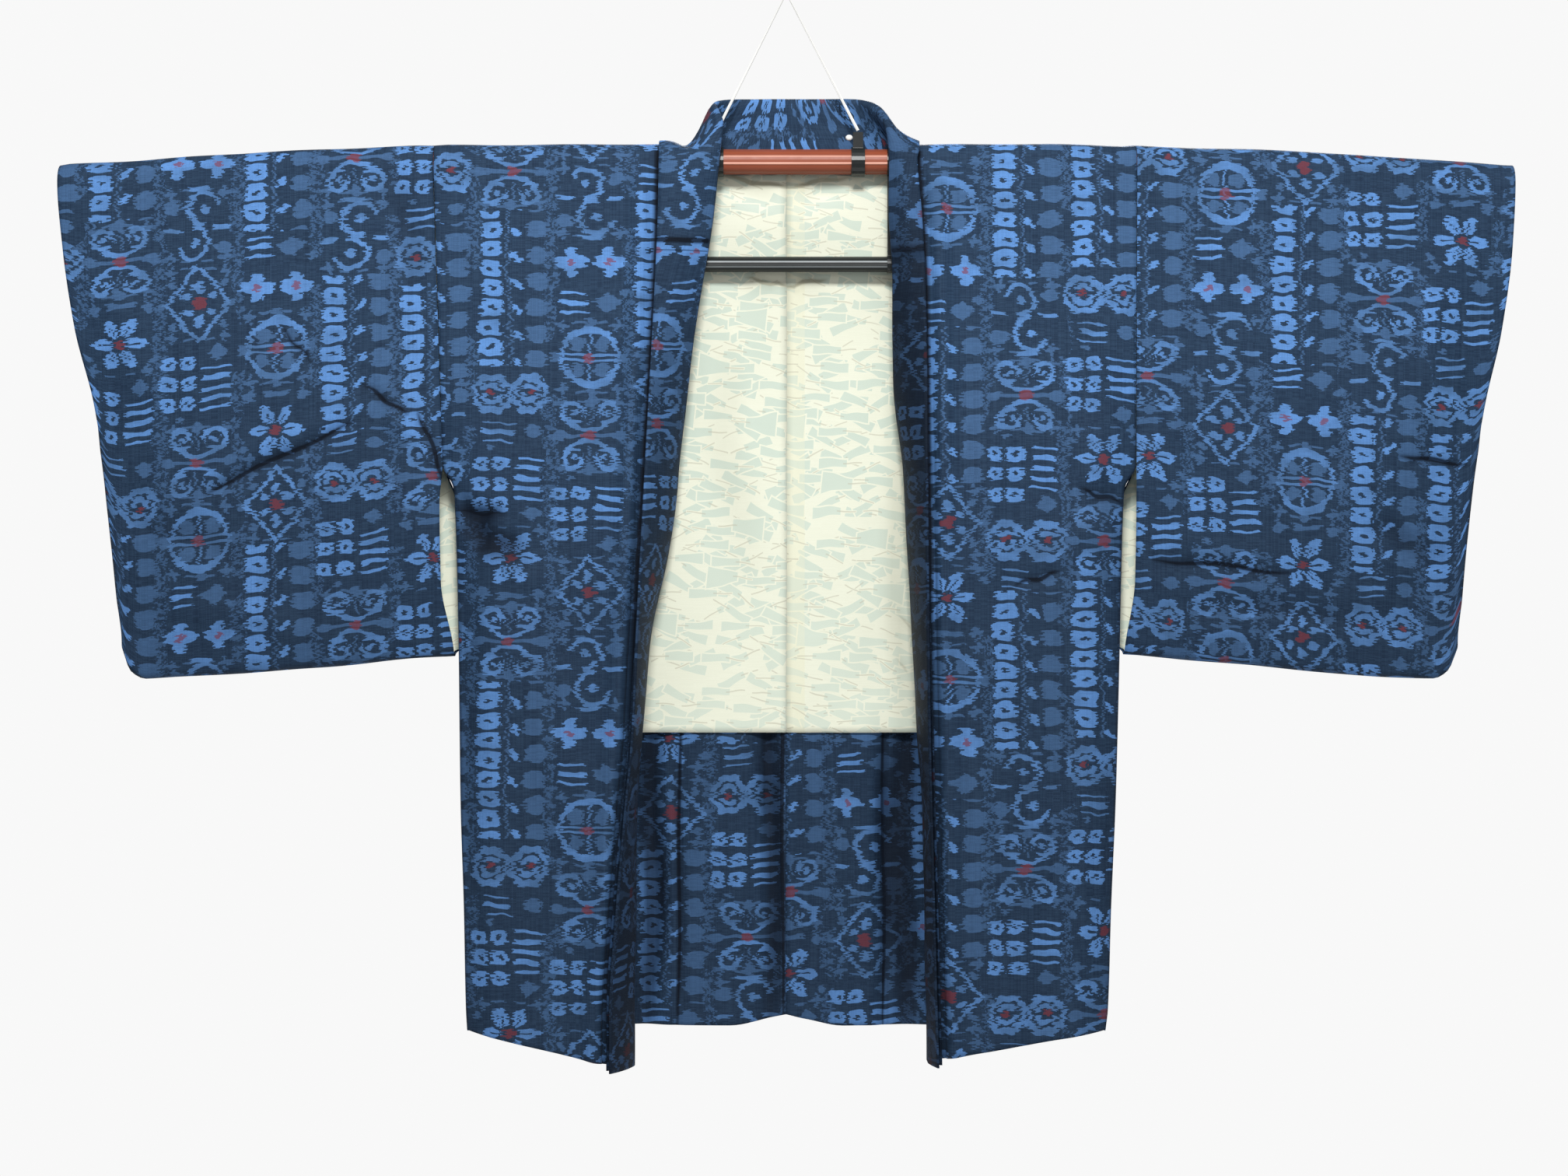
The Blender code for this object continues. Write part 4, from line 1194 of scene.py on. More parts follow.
def draw_vine(x, y):
    """Winding stem with curls and leaves."""
    high = ring(length(x + 3.0, y - 13.5), 11.5, 1.7) * (1 - block(x + 14.0, y - 8.0, 9.0, 8.0))
    lower = ring(length(x - 4.0, y + 12.5), 12.5, 1.7) * (1 - block(x - 15.0, y + 6.0, 9.0, 9.0))
    curl = either(length(x + 3.0, y - 13.5) < 3.4, length(x - 4.0, y + 12.5) < 3.6)
    blob = either(length((x - 20.0) * 0.8, y - 17.0) < 5.2, length((x + 19.0) * 0.8, y + 15.0) < 5.4)
    short = either(block(x - 19.0, y - 2.0, 6.0, 1.6), block(x + 20.0, y - 3.0, 5.5, 1.6),
                   block(x, y + 28.0, 8.0, 1.6))
    return either(high, lower, curl, short), blob, None


# Each figure's function gives its bright, middle and red parts.
DRAW = {"wheel": draw_wheel, "scrolls": draw_scrolls, "diamond": draw_diamond, "rosettes": draw_rosettes,
        "ladder": draw_ladder, "studs": draw_studs, "blossoms": draw_blossoms, "flower": draw_flower,
        "vine": draw_vine}
VIVID = ("ladder", "studs", "blossoms", "flower")     # dyed in the brighter blue
ROUND = ("wheel", "scrolls", "diamond", "flower", "vine")     # leave their corners free


def draw_corners(x, y):
    """Soft buds and dashes filling the corners of a cell."""
    ax, ay = abs(x) - 21.0, abs(y) - 24.5
    angle = ay.math("ARCTAN2", ax)
    bud = length(ax, ay) < (angle * 4.0).math("COSINE") * 1.6 + 3.8
    return bud.highest(block(ax + 13.0, (abs(y) - 27.0).wrap(1.9), 4.0, 0.8) * (abs(y) > 24.0))


def figure_number(made, lane, row):
    """Number of the figure in a cell, read off LANES."""
    ramp = made.tree.nodes.new("ShaderNodeValToRGB")
    stops = ramp.color_ramp
    stops.interpolation = "CONSTANT"
    names = [name for column in LANES for name in column]
    for index, name in enumerate(names):
        grey = (FIGURES.index(name) + HALF) / RAMP_STEPS
        start = index / len(names)
        stop = stops.elements[0] if index == 0 else stops.elements.new(start)
        stop.position = start
        stop.color = (grey, grey, grey, 1)
    stops.elements.remove(stops.elements[-1])
    place = (lane * float(ROW_COUNT) + row + HALF) * (1 / len(names))
    made.tree.links.new(place.socket, ramp.inputs[0])
    return (Value(made.tree, ramp.outputs[0]) * float(RAMP_STEPS)).floor()


def thread_noise(made, across, along, kind):
    """Random number for each length of thread of a kind."""
    width, reach = THREADS[kind]
    place = made.join((across * (1 / width)).floor(), (along * (1 / reach)).floor())
    return made.node("ShaderNodeTexWhiteNoise", {"noise_dimensions": "2D"}, {"Vector": place})


def painted_crease_line(made):
    """Painted shade: a dark line in the bottom of the sharp creases."""
    cross = made.attribute("Cross")
    near = made.attribute("Near")
    wander = made.noise(made.place(), 90.0, 2.0)
    half = LINE_HALF / LINE_REACH
    inside = half * LINE_WIDEN - abs(cross + (wander - HALF) * LINE_WANDER)
    return (inside * (1 / half)).math("MULTIPLY", near, clamp=True)


def ikat_cloth(sizes):
    """Charcoal indigo pongee with frayed blue and red ikat figures."""
    made = Shader("kasuri_pongee", 0.60, Sheen_Weight=0.015, Sheen_Roughness=0.4, Specular_IOR_Level=0.07)
    u, v = made.pattern()
    u, v = u * (1 / MM / sizes.enlarge), v * (1 / MM / sizes.enlarge)
    pick = thread_noise(made, v, u, "pick")
    fine = thread_noise(made, v, u, "fine")
    drift = made.noise(made.join(u, v * 0.6), 0.045, 1.0)
    frayed = u + (pick * 0.75 + fine * 0.25 - HALF) * (sizes.fray / MM) + (drift - HALF) * DRIFT
    sway = made.noise(made.join(u * 0.7, v), 0.09, 1.0)
    bent = v + (sway - HALF) * SWAY
    lane = (frayed * (1 / CELL)).floor()
    repeat = (lane * (1 / LANE_COUNT) + 0.01).floor()
    in_repeat = lane - repeat * float(LANE_COUNT)
    dropped = bent + in_repeat * LANE_DROP
    row = (dropped * (1 / CELL)).floor()
    x = frayed - (lane + HALF) * CELL
    y = dropped - (row + HALF) * CELL
    in_column = (row + repeat * (ROW_COUNT / 2)).math("FLOORED_MODULO", float(ROW_COUNT))
    figure = figure_number(made, in_repeat, in_column)
    bright = middle = red = vivid = None
    corner = draw_corners(x, y)
    for index, name in enumerate(FIGURES):
        here = figure.math("COMPARE", float(index), 0.3)
        one, two, three = DRAW[name](x, y)
        if name in ROUND:
            two = two.highest(corner)
        if name in VIVID:
            vivid = joined(vivid, here)
        bright = joined(bright, one * here)
        middle = joined(middle, two * here)
        if three is not None:
            red = joined(red, three * here)
    speckle = made.noise(made.join(frayed * 1.2, v * 0.8), 0.30, 1.0)
    edge = abs(x) - LANE_EDGE
    scribble = (speckle > 0.50) * (edge > 0.0) * (made.noise(made.join(u, v), 0.02, 1.0) > 0.44)
    middle = middle.highest(scribble * SCRIBBLE)
    thread = thread_noise(made, v, u, "thread")
    warp = thread_noise(made, u, v, "warp")
    patchy = made.noise(made.join(u * 0.5, v), 0.05, 2.0)
    ground = made.mix(thread * 0.6 + warp * 0.4, (*sizes.ground_dark, 1), (*sizes.ground_light, 1))
    own, weft_share, warp_share = MIDDLE_SHARES
    soft = (middle * (own + weft_share * thread + warp_share * warp)).clamped()
    colour = made.mix(soft, ground, (*sizes.middle_blue, 1))
    tone = ((patchy - 0.40) * 2.6 + vivid * 0.50).math("ADD", 0.12, clamp=True)
    blue = made.mix(tone, (*sizes.soft_blue, 1), (*sizes.bright_blue, 1))
    own, weft_share, warp_share = BRIGHT_SHARES
    strong = (bright * (own + weft_share * thread + warp_share * warp)).clamped()
    colour = made.mix(strong, colour, blue)
    colour = made.mix(red * RED_SHOWS, colour, (*sizes.brick_red, 1))
    # painted shade: troughs, the groove beside the collar's free edge and crease lines are darkened toward
    # the painted shade colour
    fold = made.attribute("Fold")
    # closeness to the collar's free edge, for the painted shade line in its groove
    seam = made.attribute("Seam")
    line = ((seam - (1 - EDGE_SHADE_REACH / NEARBY)) * (NEARBY / EDGE_SHADE_SOFT)).clamped()
    crease = painted_crease_line(made)
    fold_dark, edge_shade_dark, crease_dark = CLOTH_DARK
    dark = (fold * fold_dark).highest(line * edge_shade_dark).highest(crease * crease_dark)
    colour = made.mix(dark, colour, (*sizes.painted_shade, 1))
    made.feed("Base Color", colour)
    weave = (u * 6.3).math("SINE") * (v * 6.9).math("SINE") + thread * 0.8
    made.bump(weave, strength=0.25, distance=0.0004)
    return made.material


# Layers of paddles, each turned as a whole: angle, cell and blade, in
# radians and millimetres, and the share of cells that hold one.
Paddles = namedtuple("Paddles", "turn wide high half_long half_high flare share")
PADDLES = (
    Paddles(0.10, 74.0, 47.0, 13.5, 7.2, 0.22, 0.62),
    Paddles(0.05, 46.0, 14.5, 12.5, 3.4, 0.05, 0.62),
    Paddles(0.50, 48.0, 15.0, 12.0, 3.6, 0.06, 0.55),
    Paddles(-0.42, 47.0, 15.5, 12.5, 3.5, 0.05, 0.72),
    Paddles(0.24, 45.0, 14.0, 12.0, 3.3, 0.07, 0.80),
)
MARGIN = 1.3                 # cream kept clear round each paddle
BLADE_OFF = 6.5              # the blade's middle along its paddle
BLADE_TILT = 0.16
NECK_OFF = 5.0
NECK_LONG = 8.5
NECK_HALF = 0.55
NECK_CLEAR = 0.6


def paddle_layer(made, u, v, kind, seed):
    """Blade, neck and clear margin of one turned layer."""
    cos, sin = math.cos(kind.turn), math.sin(kind.turn)
    over, down = u * cos + v * sin, v * cos - u * sin
    row = (down * (1 / kind.high)).floor()
    shift = made.node("ShaderNodeTexWhiteNoise", {"noise_dimensions": "1D"}, {"W": row + seed})
    over = over + shift * kind.wide
    column = (over * (1 / kind.wide)).floor()
    x = over - (column + HALF) * kind.wide
    y = down - (row + HALF) * kind.high
    noise = made.tree.nodes.new("ShaderNodeTexWhiteNoise")
    noise.noise_dimensions = "3D"
    made.tree.links.new(made.join(column, row, seed).socket, noise.inputs["Vector"])
    tilt, flip, pick = made.parts(Value(made.tree, noise.outputs["Color"]))
    x = x * ((flip > HALF) * 2.0 - 1.0)
    across = abs(y + x * (tilt - HALF) * BLADE_TILT)
    blade_x = abs(x - BLADE_OFF) - kind.half_long
    blade_y = across - ((x - BLADE_OFF) * kind.flare + kind.half_high)
    far = blade_x.highest(blade_y)
    neck_x = abs(x + kind.half_long * HALF + NECK_OFF) - NECK_LONG
    there = pick < kind.share
    blade = (far < 0.0) * there
    neck_far = neck_x.highest(across - NECK_HALF)
    neck = (neck_far < 0.0) * there
    clear = (far < MARGIN).highest(neck_far < NECK_CLEAR) * there
    return blade, neck, clear


def lining_silk(sizes):
    """Cream silk with slanted pale green paddles and a pressed centre seam."""
    made = Shader("lining_silk", 0.45, Sheen_Weight=0.08, Sheen_Roughness=0.4, Specular_IOR_Level=0.35)
    u, v = made.pattern()
    u, v = u * (1 / MM), v * (1 / MM)
    sway = made.noise(made.join(u, v), 0.03, 1.0)
    bent = v + (sway - HALF) * LINING_SWAY
    blade = neck = covered = None
    for seed, kind in enumerate(PADDLES):
        one_blade, one_neck, clear = paddle_layer(made, u, bent, kind, seed * 7.0)
        if covered is None:
            blade, neck, covered = one_blade, one_neck, clear
        else:
            blade = blade.highest(one_blade * (1 - covered))
            neck = neck.highest(one_neck * (1 - covered))
            covered = covered.highest(clear)
    x_place, _, z_place = made.parts(made.place())
    centre = (x_place > CENTRE_SEAM[0]) * (x_place < CENTRE_SEAM[1])
    crack = abs(x_place) < CENTRE_CRACK
    grain = made.noise(made.join(u * 0.4, v * 4.0), 0.8, 2.0)
    weft = thread_noise(made, v, u, "weft")
    ground = made.mix(grain * 0.7 + weft * 0.3, (*sizes.cream, 1), (*sizes.cream_shade, 1))
    ground = made.mix(centre * SEAM_SHOWS, ground, (*sizes.seam_cream, 1))
    green = made.mix(grain, (*sizes.pale_green, 1), (*sizes.cool_green, 1))
    pale = ((PALE_FROM - z_place) * (1 / PALE_SOFT)).math("MULTIPLY", PALEST, clamp=True)
    pale = pale.lowest(PALEST)
    colour = made.mix(blade * (PADDLE_SHOWS - SEAM_TAKES * centre) * (1 - pale), ground, green)
    colour = made.mix(neck * NECK_SHOWS, colour, (*sizes.neck_buff, 1))
    colour = made.mix(crack * CRACK_SHOWS, colour, (*sizes.neck_buff, 1))
    # painted shade of folds and crease lines, a painted shadow under the bars and slight painted shade higher
    # up
    fold = made.attribute("Fold")
    under_bar = ((z_place - UNDER_BAR) * (1 / UNDER_BAR_SOFT)).math("MULTIPLY", UNDER_BAR_DARK, clamp=True)
    high = ((z_place - HIGH_FROM) * (1 / HIGH_SOFT)).math("MULTIPLY", HIGH_GROWS, clamp=True)
    dark = (fold * LINING_DARK[0]).highest(painted_crease_line(made) * LINING_DARK[1])
    dark = dark.highest(under_bar).highest(high.lowest(HIGH_DARK))
    colour = made.mix(dark, colour, (*sizes.lining_shade, 1))
    made.feed("Base Color", colour)
    weave = (u * 9.0).math("SINE") * (v * 9.6).math("SINE") + grain * 0.5
    made.bump(weave, strength=0.12, distance=0.0003)
    return made.material


def hanger_plastic(name, colour, rough):
    """Moulded plastic with faint flow marks and scuffs."""
    made = Shader(name, rough, Specular_IOR_Level=0.4)
    place = made.place()
    marks = made.noise(place, 120.0, 3.0)
    scuff = made.noise(place, 35.0, 4.0)
    paler = [min(1.0, c * PLASTIC_PALER + 0.01) for c in colour]
    made.feed("Base Color", made.mix(scuff, (*colour, 1), (*paler, 1)))
    made.feed("Roughness", marks * 0.10 + (rough - 0.05))
    made.bump(marks, strength=0.02, distance=0.0001)
    return made.material


def ribbed_plastic(name, colour, shine, axis, lines):
    """Moulded bar with painted highlights where its raised lines catch the light; lines are heights off its
    axis.
    """
    made = Shader(name, 0.42, Specular_IOR_Level=0.28)
    place = made.place()
    marks = made.noise(place, 120.0, 3.0)
    flow = made.noise(place, 20.0, 3.0)
    z_place = made.parts(place)[2]
    base = made.mix(flow, (*colour, 1), (*[c * PLASTIC_PALER + 0.004 for c in colour], 1))
    # painted highlight along each raised line
    for height, half_width, strength in lines:
        off = abs(z_place - (axis + height))
        bright = ((half_width - off) * (1 / HIGHLIGHT_SOFT)).clamped()
        base = made.mix(bright * (strength * (0.75 + 0.5 * flow)), base, (*shine, 1))
    made.feed("Base Color", base)
    made.feed("Roughness", marks * 0.10 + 0.37)
    made.bump(marks, strength=0.02, distance=0.0001)
    return made.material


def coated_wire():
    """White plastic skin on steel wire."""
    made = Shader("coated_wire", 0.35)
    marks = made.noise(made.place(), 160.0, 2.0)
    made.feed("Base Color", made.mix(marks, (*WIRE_COLOURS[0], 1), (*WIRE_COLOURS[1], 1)))
    made.bump(marks, strength=0.06, distance=0.0002)
    return made.material


# ---- properties -------------------------------------------------------------
def colour_property(name, description, default):
    """A colour with its default."""
    return bpy.props.FloatVectorProperty(name=name, description=description, default=default,
                                         size=3, min=0, max=1, subtype="COLOR")


class HaoriCloth(bpy.types.PropertyGroup):
    """Cloth walls, the colours of the ikat and the lining, and the colours of their painted shade."""
    wall: bpy.props.FloatProperty(name="Cloth wall", description="Thickness of the outer cloth",
                                  default=0.0012, min=0.0005, max=0.003, unit="LENGTH")
    lining: bpy.props.FloatProperty(name="Lining wall", description="Thickness of the lining silk",
                                    default=0.0008, min=0.0003, max=0.002, unit="LENGTH")
    fray: bpy.props.FloatProperty(name="Fray", description="How far weft threads shift at a figure's edge",
                                  default=0.0056, min=0.0, max=0.010, unit="LENGTH")
    enlarge: bpy.props.FloatProperty(name="Figure size", description="Size of the ikat figures",
                                     default=1.16, min=0.5, max=2.0)
    ground_dark: colour_property("Ground, dark", "Dark threads of the ground", (0.0112, 0.0245, 0.0510))
    ground_light: colour_property("Ground, light", "Light threads of the ground", (0.0245, 0.0505, 0.0950))
    bright_blue: colour_property("Bright blue", "Brightest ikat blue", (0.107, 0.255, 0.570))
    soft_blue: colour_property("Soft blue", "Duller patches of the bright ikat", (0.064, 0.144, 0.300))
    middle_blue: colour_property("Middle blue", "Filled parts of the figures", (0.052, 0.115, 0.238))
    # painted shade: the colour of shade painted into folds, crease lines, the groove by the collar's edge,
    # the turned band and the lower cloth
    painted_shade: colour_property("Deep fold", "Cloth in the shade of a sharp fold", (0.0025, 0.0040, 0.0080))
    brick_red: colour_property("Brick red", "Centres of the figures", (0.16, 0.035, 0.045))
    cream: colour_property("Cream", "Ground of the lining", (0.725, 0.742, 0.615))
    cream_shade: colour_property("Cream shade", "Shaded threads of the lining", (0.668, 0.684, 0.553))
    seam_cream: colour_property("Seam cream", "Seam allowance seen through the silk", (0.676, 0.668, 0.482))
    # painted shade: the colour of shade and shadow painted on the lining
    lining_shade: colour_property("Lining shade", "Lining in the shade of folds and bars", (0.23, 0.22, 0.15))
    pale_green: colour_property("Pale green", "Paddles of the lining", (0.482, 0.575, 0.482))
    cool_green: colour_property("Cool green", "Cooler threads of the paddles", (0.448, 0.558, 0.507))
    neck_buff: colour_property("Buff", "Necks of the paddles", (0.439, 0.422, 0.321))


class HaoriHanger(bpy.types.PropertyGroup):
    """Finish of the hanger, with painted highlights on the raised lines of its bars."""
    terracotta: colour_property("Terracotta", "Upper bar", (0.225, 0.052, 0.023))
    # painted highlight: the colour of the upper bar's raised lines where they catch the light
    terracotta_highlight: colour_property("Terracotta line", "Raised lines of the upper bar", (0.72, 0.36, 0.27))
    black: colour_property("Black", "Lower bar, clips and links", (0.006, 0.008, 0.0085))
    # painted highlight: the colour of the lower bar's raised lines where they catch the light
    black_highlight: colour_property("Black line", "Raised lines of the lower bar", (0.24, 0.27, 0.28))
    bead: bpy.props.FloatProperty(name="Bead", description="Height of the raised lines along the bars",
                                  default=0.0009, min=0.0, max=0.002, unit="LENGTH")


class HaoriStage(bpy.types.PropertyGroup):
    """Camera, lights and floor."""
    distance: bpy.props.FloatProperty(name="Camera distance", description="From the cloth to the camera",
                                      default=2.8, min=1.0, max=6.0, unit="LENGTH")
    span: bpy.props.FloatProperty(name="Picture width", description="Width seen at the cloth",
                                  default=1.4011, min=0.5, max=4.0, unit="LENGTH")
    centre_x: bpy.props.FloatProperty(name="Centre across", description="Picture centre, across",
                                      default=-0.0021, unit="LENGTH")
    centre_z: bpy.props.FloatProperty(name="Centre height", description="Picture centre, height",
                                      default=-0.5867, unit="LENGTH")
    ambient: bpy.props.FloatProperty(name="Ambient", description="Strength of the light from all round",
                                     default=0.32, min=0.0, max=2.0)
    pale: colour_property("Pale ground", "Surroundings", (0.94, 0.94, 0.94))
    floor: colour_property("Floor", "Floor", (0.83, 0.83, 0.83))


SHARED = {}


def finish_of(name, maker):
    """A material made once and shared."""
    if name not in SHARED:
        SHARED[name] = maker()
    return SHARED[name]


def kasuri(context):
    """The outer cloth's material."""
    return finish_of("kasuri", lambda: ikat_cloth(context.scene.haori_cloth))


def cream(context):
    """The lining's material."""
    return finish_of("cream", lambda: lining_silk(context.scene.haori_cloth))


def sewn(name, grid, kind, shift, wall, made, **more):
    """A cloth piece from its finished grid."""
    u, v = pattern_map(grid, kind)
    verts, faces = surface(grid)
    return make_cloth(name, verts, faces, uv_list(u, v, shift), wall, made, **more)


# ---- operators --------------------------------------------------------------
class HAORI_OT_body(bpy.types.Operator):
    """Build the two body panels and their linings."""
    bl_idname = "haori.body"
    bl_label = "Body panels"

    def execute(self, context):
        sizes = context.scene.haori_cloth
        for side, word in enumerate(("left", "right")):
            coarse = body_grid(side)
            centre = -1 if side == 0 else 0
            shut = np.abs(coarse[:, centre, 0]) < CENTRE_REACH
            coarse[shut, centre, 0] = math.copysign(SEAM_CROSS, 0.5 - side)
            outer, _ = refine(coarse, CLOTH_STEP)
            name = word + "_body"
            outer, marks = creased(name, outer, BODY_SEEDS[side], dip=side)
            piece = sewn(name + "_cloth", outer, "panel", BODY_SHIFTS[side], sizes.wall,
                         kasuri(context), shading=marks)
            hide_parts(name)
            last = len(coarse) - LINING_ROW
            inner = offset_grid(coarse, -(BODY_WALL + GAP + LINING_BACK))[LINING_ROW:last]
            edge = 0 if side == 0 else -1
            inner[:, edge, 0] -= math.copysign(LINING_INSET, inner[0, edge, 0])
            inner, _ = refine(inner, LINING_STEP)
            name = word + "_lining"
            inner, marks = creased(word + "_body", inner, BODY_SEEDS[side], own=name, dip=side,
                                   under=True)
            piece = sewn(name + "_silk", inner, "panel", LINING_SHIFTS[side], sizes.lining,
                         cream(context), shading=marks)
            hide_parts(name)
        return {"FINISHED"}


class HAORI_OT_gussets(bpy.types.Operator):
    """Build the side gussets."""
    bl_idname = "haori.gussets"
    bl_label = "Gussets"

    def execute(self, context):
        sizes = context.scene.haori_cloth
        for side, word in enumerate(("left", "right")):
            sign = (-1, 1)[side]
            rows = []
            for index in range(HEM_ROW, ARMHOLE_ROW + 1):
                row = LEVELS[index]
                z = BACK_HEM[0] + GUSSET_UP if index == HEM_ROW else row.z * MM
                depth = -row.side_y * MM - sizes.wall
                points = [(sign * (row.side[side] * MM + GUSSET_BULGE * (1 - share * share)),
                           depth * share, z) for share in GUSSET_SHARES]
                rows.append(points if side == 1 else points[::-1])
            grid, _ = refine(np.array(rows), CLOTH_STEP)
            piece = sewn(word + "_gusset_cloth", grid, "gusset", GUSSET_SHIFT, sizes.wall,
                         kasuri(context))
            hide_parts(word + "_gusset")
        return {"FINISHED"}


class HAORI_OT_sleeves(bpy.types.Operator):
    """Build the sleeves and their linings."""
    bl_idname = "haori.sleeves"
    bl_label = "Sleeves"

    def build(self, side, name, inward, shrink, step, wall, made):
        """A sleeve shell, sewn shut below the hand opening."""
        columns = [sleeve_ring(side, share, shrink) for share in SLEEVE_COLUMNS]
        coarse = np.array(columns).transpose(1, 0, 2)
        edge = coarse[:, 0]
        behind = (edge[:, 1] > BACK_HALF) & (edge[:, 2] < BACK_SPAN[0]) & (edge[:, 2] > BACK_SPAN[1])
        edge[behind, 0] -= math.copysign(BACK_REACH[side], edge[0, 0])
        if side == 1:
            coarse = coarse[:, ::-1]
        coarse = offset_grid(coarse, inward, close=True)
        grid, stations = refine(coarse, step, close=True)
        crease_name = name.replace("_lining", "")
        under = name != crease_name
        grid, marks = creased(crease_name, grid, SLEEVE_SEEDS[side], close=True, under=under)
        verts, faces = surface(grid, close=True)
        rows, count = grid.shape[:2]
        last = 0 if side == 1 else count - 1
        open_rows = [i for i, row in enumerate(SLEEVE_DEPTH) if row.drop <= CUFF_OPEN]
        bottom_mark = ARC_STEPS + len(SLEEVE_DEPTH) - 1 + 2
        first = stations[ARC_STEPS + open_rows[-1]]
        bottom = stations[bottom_mark]
        back_first = stations[2 * bottom_mark - ARC_STEPS - open_rows[-1]]
        steps = bottom - first
        u, v = pattern_map(grid, "ring")
        uv = uv_list(u, v, SLEEVE_SHIFTS[side])
        out = math.copysign(CUFF_OUT, verts[last][0])
        middles = []
        backs = [round(back_first + (bottom - back_first) * k / steps) for k in range(steps + 1)]
        for k in range(steps):
            share = (k + HALF) / steps
            front = np.array(verts[(first + k) * count + last])
            back = np.array(verts[backs[k] * count + last])
            middle = (front + back) / 2
            middle[0] += out * min(1.0, CUFF_TAPER * share, CUFF_TAPER * (1 - share))
            verts.append(tuple(middle))
            uv.append(uv[(first + k) * count + last])
            middles.append(len(verts) - 1)
        middles.append(bottom * count + last)
        for k in range(steps):
            front = [(first + k) * count + last, (first + k + 1) * count + last]
            back = [backs[k] * count + last, backs[k + 1] * count + last]
            for face in ([front[0], front[1], middles[k + 1], middles[k]],
                         [middles[k], middles[k + 1], back[1], back[0]]):
                face = list(dict.fromkeys(face))
                faces.append(tuple(face[::-1] if side == 0 else face))
        step_back = np.linalg.norm(grid[0] - grid[-1], axis=1).mean()
        wrap = (count, (rows - 1) * count, along(grid)[-1] + step_back)
        return make_cloth(name, verts, faces, uv, wall, made, wrap=wrap, shading=marks)

    def execute(self, context):
        sizes = context.scene.haori_cloth
        for side, word in enumerate(("left", "right")):
            piece = self.build(side, word + "_sleeve", 0.0, 0.0, CLOTH_STEP, sizes.wall, kasuri(context))
            piece.name = word + "_sleeve_cloth"
            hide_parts(word + "_sleeve")
            piece = self.build(side, word + "_sleeve_lining", -(SLEEVE_WALL + 3 * GAP), LINING_SHRINK,
                               LINING_STEP, sizes.lining, cream(context))
            piece.name = word + "_sleeve_silk"
            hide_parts(word + "_sleeve_lining")
        return {"FINISHED"}


class HAORI_OT_collar(bpy.types.Operator):
    """Build the folded collar band."""
    bl_idname = "haori.collar"
    bl_label = "Collar"

    def execute(self, context):
        grid, _ = refine(np.array(collar_rows()), CLOTH_STEP)
        grid, marks = band_seams(settled(grid))
        piece = sewn("collar_cloth", grid, "band", COLLAR_SHIFT, COLLAR_WALL, kasuri(context),
                     offset=0.0, shading=marks)
        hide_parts("collar")
        return {"FINISHED"}


def beaded_bar(name, path, radius, bead, made):
    """Rod with raised lines along a path of centres."""
    sides = BAR_SIDES
    rings = []
    for place in path:
        points = []
        for step in range(sides):
            turn = 2 * math.pi * step / sides
            nearest = min(abs(math.remainder(turn - math.radians(angle), 2 * math.pi))
                          for angle in BEADS)
            depth = bead * (1 - math.exp(-(nearest / BEAD_WIDTH) ** 2))
            points.append((place[0], place[1] + (radius - depth) * math.cos(turn),
                           place[2] + (radius - depth) * math.sin(turn)))
        rings.append(points)
    verts = [point for points in rings for point in points]
    faces = []
    for r in range(len(rings) - 1):
        for c in range(sides):
            nxt = (c + 1) % sides
            faces.append((r * sides + c, r * sides + nxt, (r + 1) * sides + nxt, (r + 1) * sides + c))
    faces.append(tuple(range(sides))[::-1])
    faces.append(tuple(range((len(rings) - 1) * sides, len(rings) * sides)))
    piece = smooth_object(name, verts, faces, made)
    piece.data.validate()
    bpy.ops.object.select_all(action="DESELECT")
    bpy.context.view_layer.objects.active = piece
    piece.select_set(True)
    bpy.ops.object.mode_set(mode="EDIT")
    bpy.ops.mesh.select_all(action="SELECT")
    bpy.ops.mesh.normals_make_consistent(inside=False)
    bpy.ops.object.mode_set(mode="OBJECT")
    bpy.ops.object.shade_smooth_by_angle(angle=math.radians(SHARP_ANGLE))
    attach(piece, "root")
    return piece


class HAORI_OT_hanger(bpy.types.Operator):
    """Build the ribbed bars and finish the clips, links and hook."""
    bl_idname = "haori.hanger"
    bl_label = "Hanger"

    def knob(self, context, made):
        """White stud on the right clip, where its wire is tied off."""
        bpy.ops.object.select_all(action="DESELECT")
        bpy.ops.mesh.primitive_uv_sphere_add(segments=24, ring_count=12, radius=STUD_RADIUS,
                                             location=STUD_PLACE)
        stud = context.object
        stud.name = "clip_stud"
        bpy.ops.object.mode_set(mode="EDIT")
        bpy.ops.mesh.select_all(action="SELECT")
        bpy.ops.transform.resize(value=STUD_SHAPE)
        bpy.ops.object.mode_set(mode="OBJECT")
        bpy.ops.object.transform_apply(location=True, rotation=True, scale=True)
        bpy.ops.object.shade_smooth()
        stud.data.materials.append(made)
        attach(stud, "root")

    def execute(self, context):
        sizes = context.scene.haori_hanger
        red = ribbed_plastic("terracotta_plastic", sizes.terracotta, sizes.terracotta_highlight, BAR_Z,
                             UPPER_HIGHLIGHTS)
        black = hanger_plastic("black_plastic", sizes.black, 0.26)
        lined = ribbed_plastic("black_bar_plastic", sizes.black, sizes.black_highlight, LOWER_Z,
                               LOWER_HIGHLIGHTS)
        wire_made = coated_wire()
        path = []
        for step in range(-BAR_STEPS, BAR_STEPS + 1):
            x = BAR_HALF * step / BAR_STEPS
            path.append((x, 0, BAR_Z - sag(x)))
        bar = beaded_bar("upper_bar_beaded", path, BAR_RADIUS, sizes.bead, red)
        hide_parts("upper_bar")
        ends = [(x, 0, LOWER_Z) for x in (-LOWER_HALF, 0, LOWER_HALF)]
        bar = beaded_bar("lower_bar_beaded", ends, LOWER_RADIUS, sizes.bead * LOWER_BEAD, lined)
        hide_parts("lower_bar")
        for node in ("left_clip", "right_clip", "left_link", "right_link"):
            for slot in bpy.data.objects[node].material_slots:
                slot.material = black
        self.knob(context, wire_made)
        for slot in bpy.data.objects["hook"].material_slots:
            slot.material = wire_made
        return {"FINISHED"}


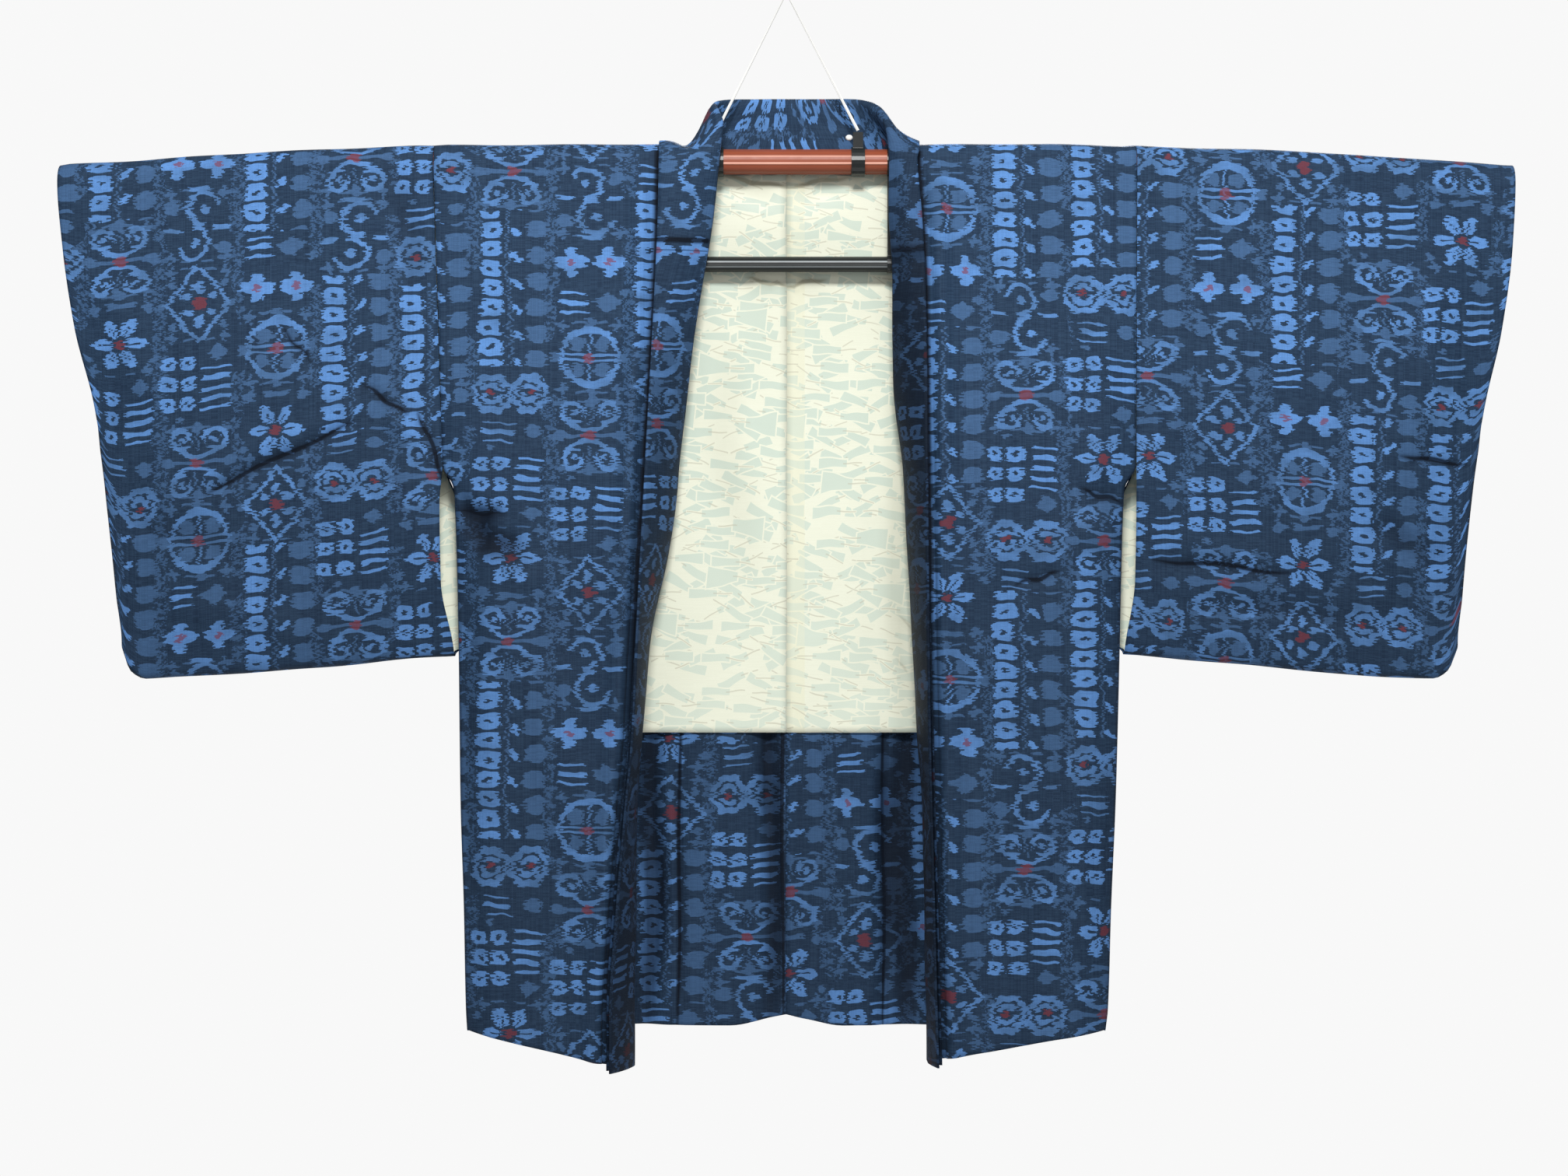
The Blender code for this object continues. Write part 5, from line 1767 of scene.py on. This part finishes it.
class HAORI_OT_stage(bpy.types.Operator):
    """Place the camera, lights and floor."""
    bl_idname = "haori.stage"
    bl_label = "Stage"

    def light(self, context, lamp):
        """One area light that faces its target."""
        data = bpy.data.lights.new(lamp.name, "AREA")
        data.shape = "RECTANGLE"
        data.size, data.size_y = lamp.size
        data.energy = lamp.power
        light = bpy.data.objects.new(lamp.name, data)
        light.location = lamp.place
        toward = Vector(lamp.target) - Vector(lamp.place)
        light.rotation_euler = toward.to_track_quat("-Z", "Y").to_euler()
        light.visible_glossy = lamp.shiny
        context.collection.objects.link(light)

    def execute(self, context):
        sizes = context.scene.haori_stage
        data = bpy.data.cameras.new("camera")
        data.sensor_width = SENSOR
        data.lens = SENSOR * sizes.distance / sizes.span
        camera = bpy.data.objects.new("camera", data)
        camera.location = (sizes.centre_x, -sizes.distance, sizes.centre_z)
        camera.rotation_euler = (math.pi / 2, 0, 0)
        context.collection.objects.link(camera)
        context.scene.camera = camera
        context.scene.view_settings.view_transform = "Standard"
        bpy.ops.mesh.primitive_plane_add(size=FLOOR_SIZE, location=(0, 0, FLOOR_Z))
        floor = context.object
        floor.name = "floor"
        made = Shader("pale_floor", 0.9, Specular_IOR_Level=0.1)
        grain = made.noise(made.place(), 6.0, 2.0)
        darker = [c * FLOOR_GRAIN for c in sizes.floor]
        made.feed("Base Color", made.mix(grain, (*sizes.floor, 1), (*darker, 1)))
        floor.data.materials.append(made.material)
        world = bpy.data.worlds.new("studio")
        world.use_nodes = True
        nodes, links = world.node_tree.nodes, world.node_tree.links
        seen = nodes.new("ShaderNodeLightPath")
        strength = nodes.new("ShaderNodeMapRange")
        strength.inputs["To Min"].default_value = sizes.ambient
        strength.inputs["To Max"].default_value = 1.0
        links.new(seen.outputs["Is Camera Ray"], strength.inputs["Value"])
        links.new(strength.outputs[0], nodes["Background"].inputs["Strength"])
        nodes["Background"].inputs["Color"].default_value = (*sizes.pale, 1)
        context.scene.world = world
        for lamp in LAMPS:
            self.light(context, lamp)
        return {"FINISHED"}


class HAORI_PT_panel(bpy.types.Panel):
    """Lists the build steps and their sizes."""
    bl_label = "Haori jacket"
    bl_idname = "HAORI_PT_panel"
    bl_space_type = "VIEW_3D"
    bl_region_type = "UI"
    bl_category = "Haori"

    def draw(self, context):
        layout = self.layout
        for group in ("haori_cloth", "haori_hanger", "haori_stage"):
            box = layout.box()
            holder = getattr(context.scene, group)
            for name in holder.bl_rna.properties.keys():
                if name not in ("rna_type", "name"):
                    box.prop(holder, name)
        for step in STEPS:
            layout.operator(step.bl_idname)


GROUPS = {"haori_cloth": HaoriCloth, "haori_hanger": HaoriHanger, "haori_stage": HaoriStage}
STEPS = (HAORI_OT_body, HAORI_OT_gussets, HAORI_OT_sleeves, HAORI_OT_collar, HAORI_OT_hanger, HAORI_OT_stage)


def register():
    """Make the groups, operators and panel known."""
    for holder in GROUPS.values():
        bpy.utils.register_class(holder)
    for name, holder in GROUPS.items():
        setattr(bpy.types.Scene, name, bpy.props.PointerProperty(type=holder))
    for step in (*STEPS, HAORI_PT_panel):
        bpy.utils.register_class(step)


def unregister():
    """Take them away again."""
    for step in (HAORI_PT_panel, *reversed(STEPS)):
        bpy.utils.unregister_class(step)
    for name in GROUPS:
        delattr(bpy.types.Scene, name)
    for holder in reversed(list(GROUPS.values())):
        bpy.utils.unregister_class(holder)


def main():
    """Build everything in order."""
    register()
    bpy.ops.haori.body()
    bpy.ops.haori.gussets()
    bpy.ops.haori.sleeves()
    bpy.ops.haori.collar()
    bpy.ops.haori.hanger()
    bpy.ops.haori.stage()


if __name__ == "__main__":
    main()
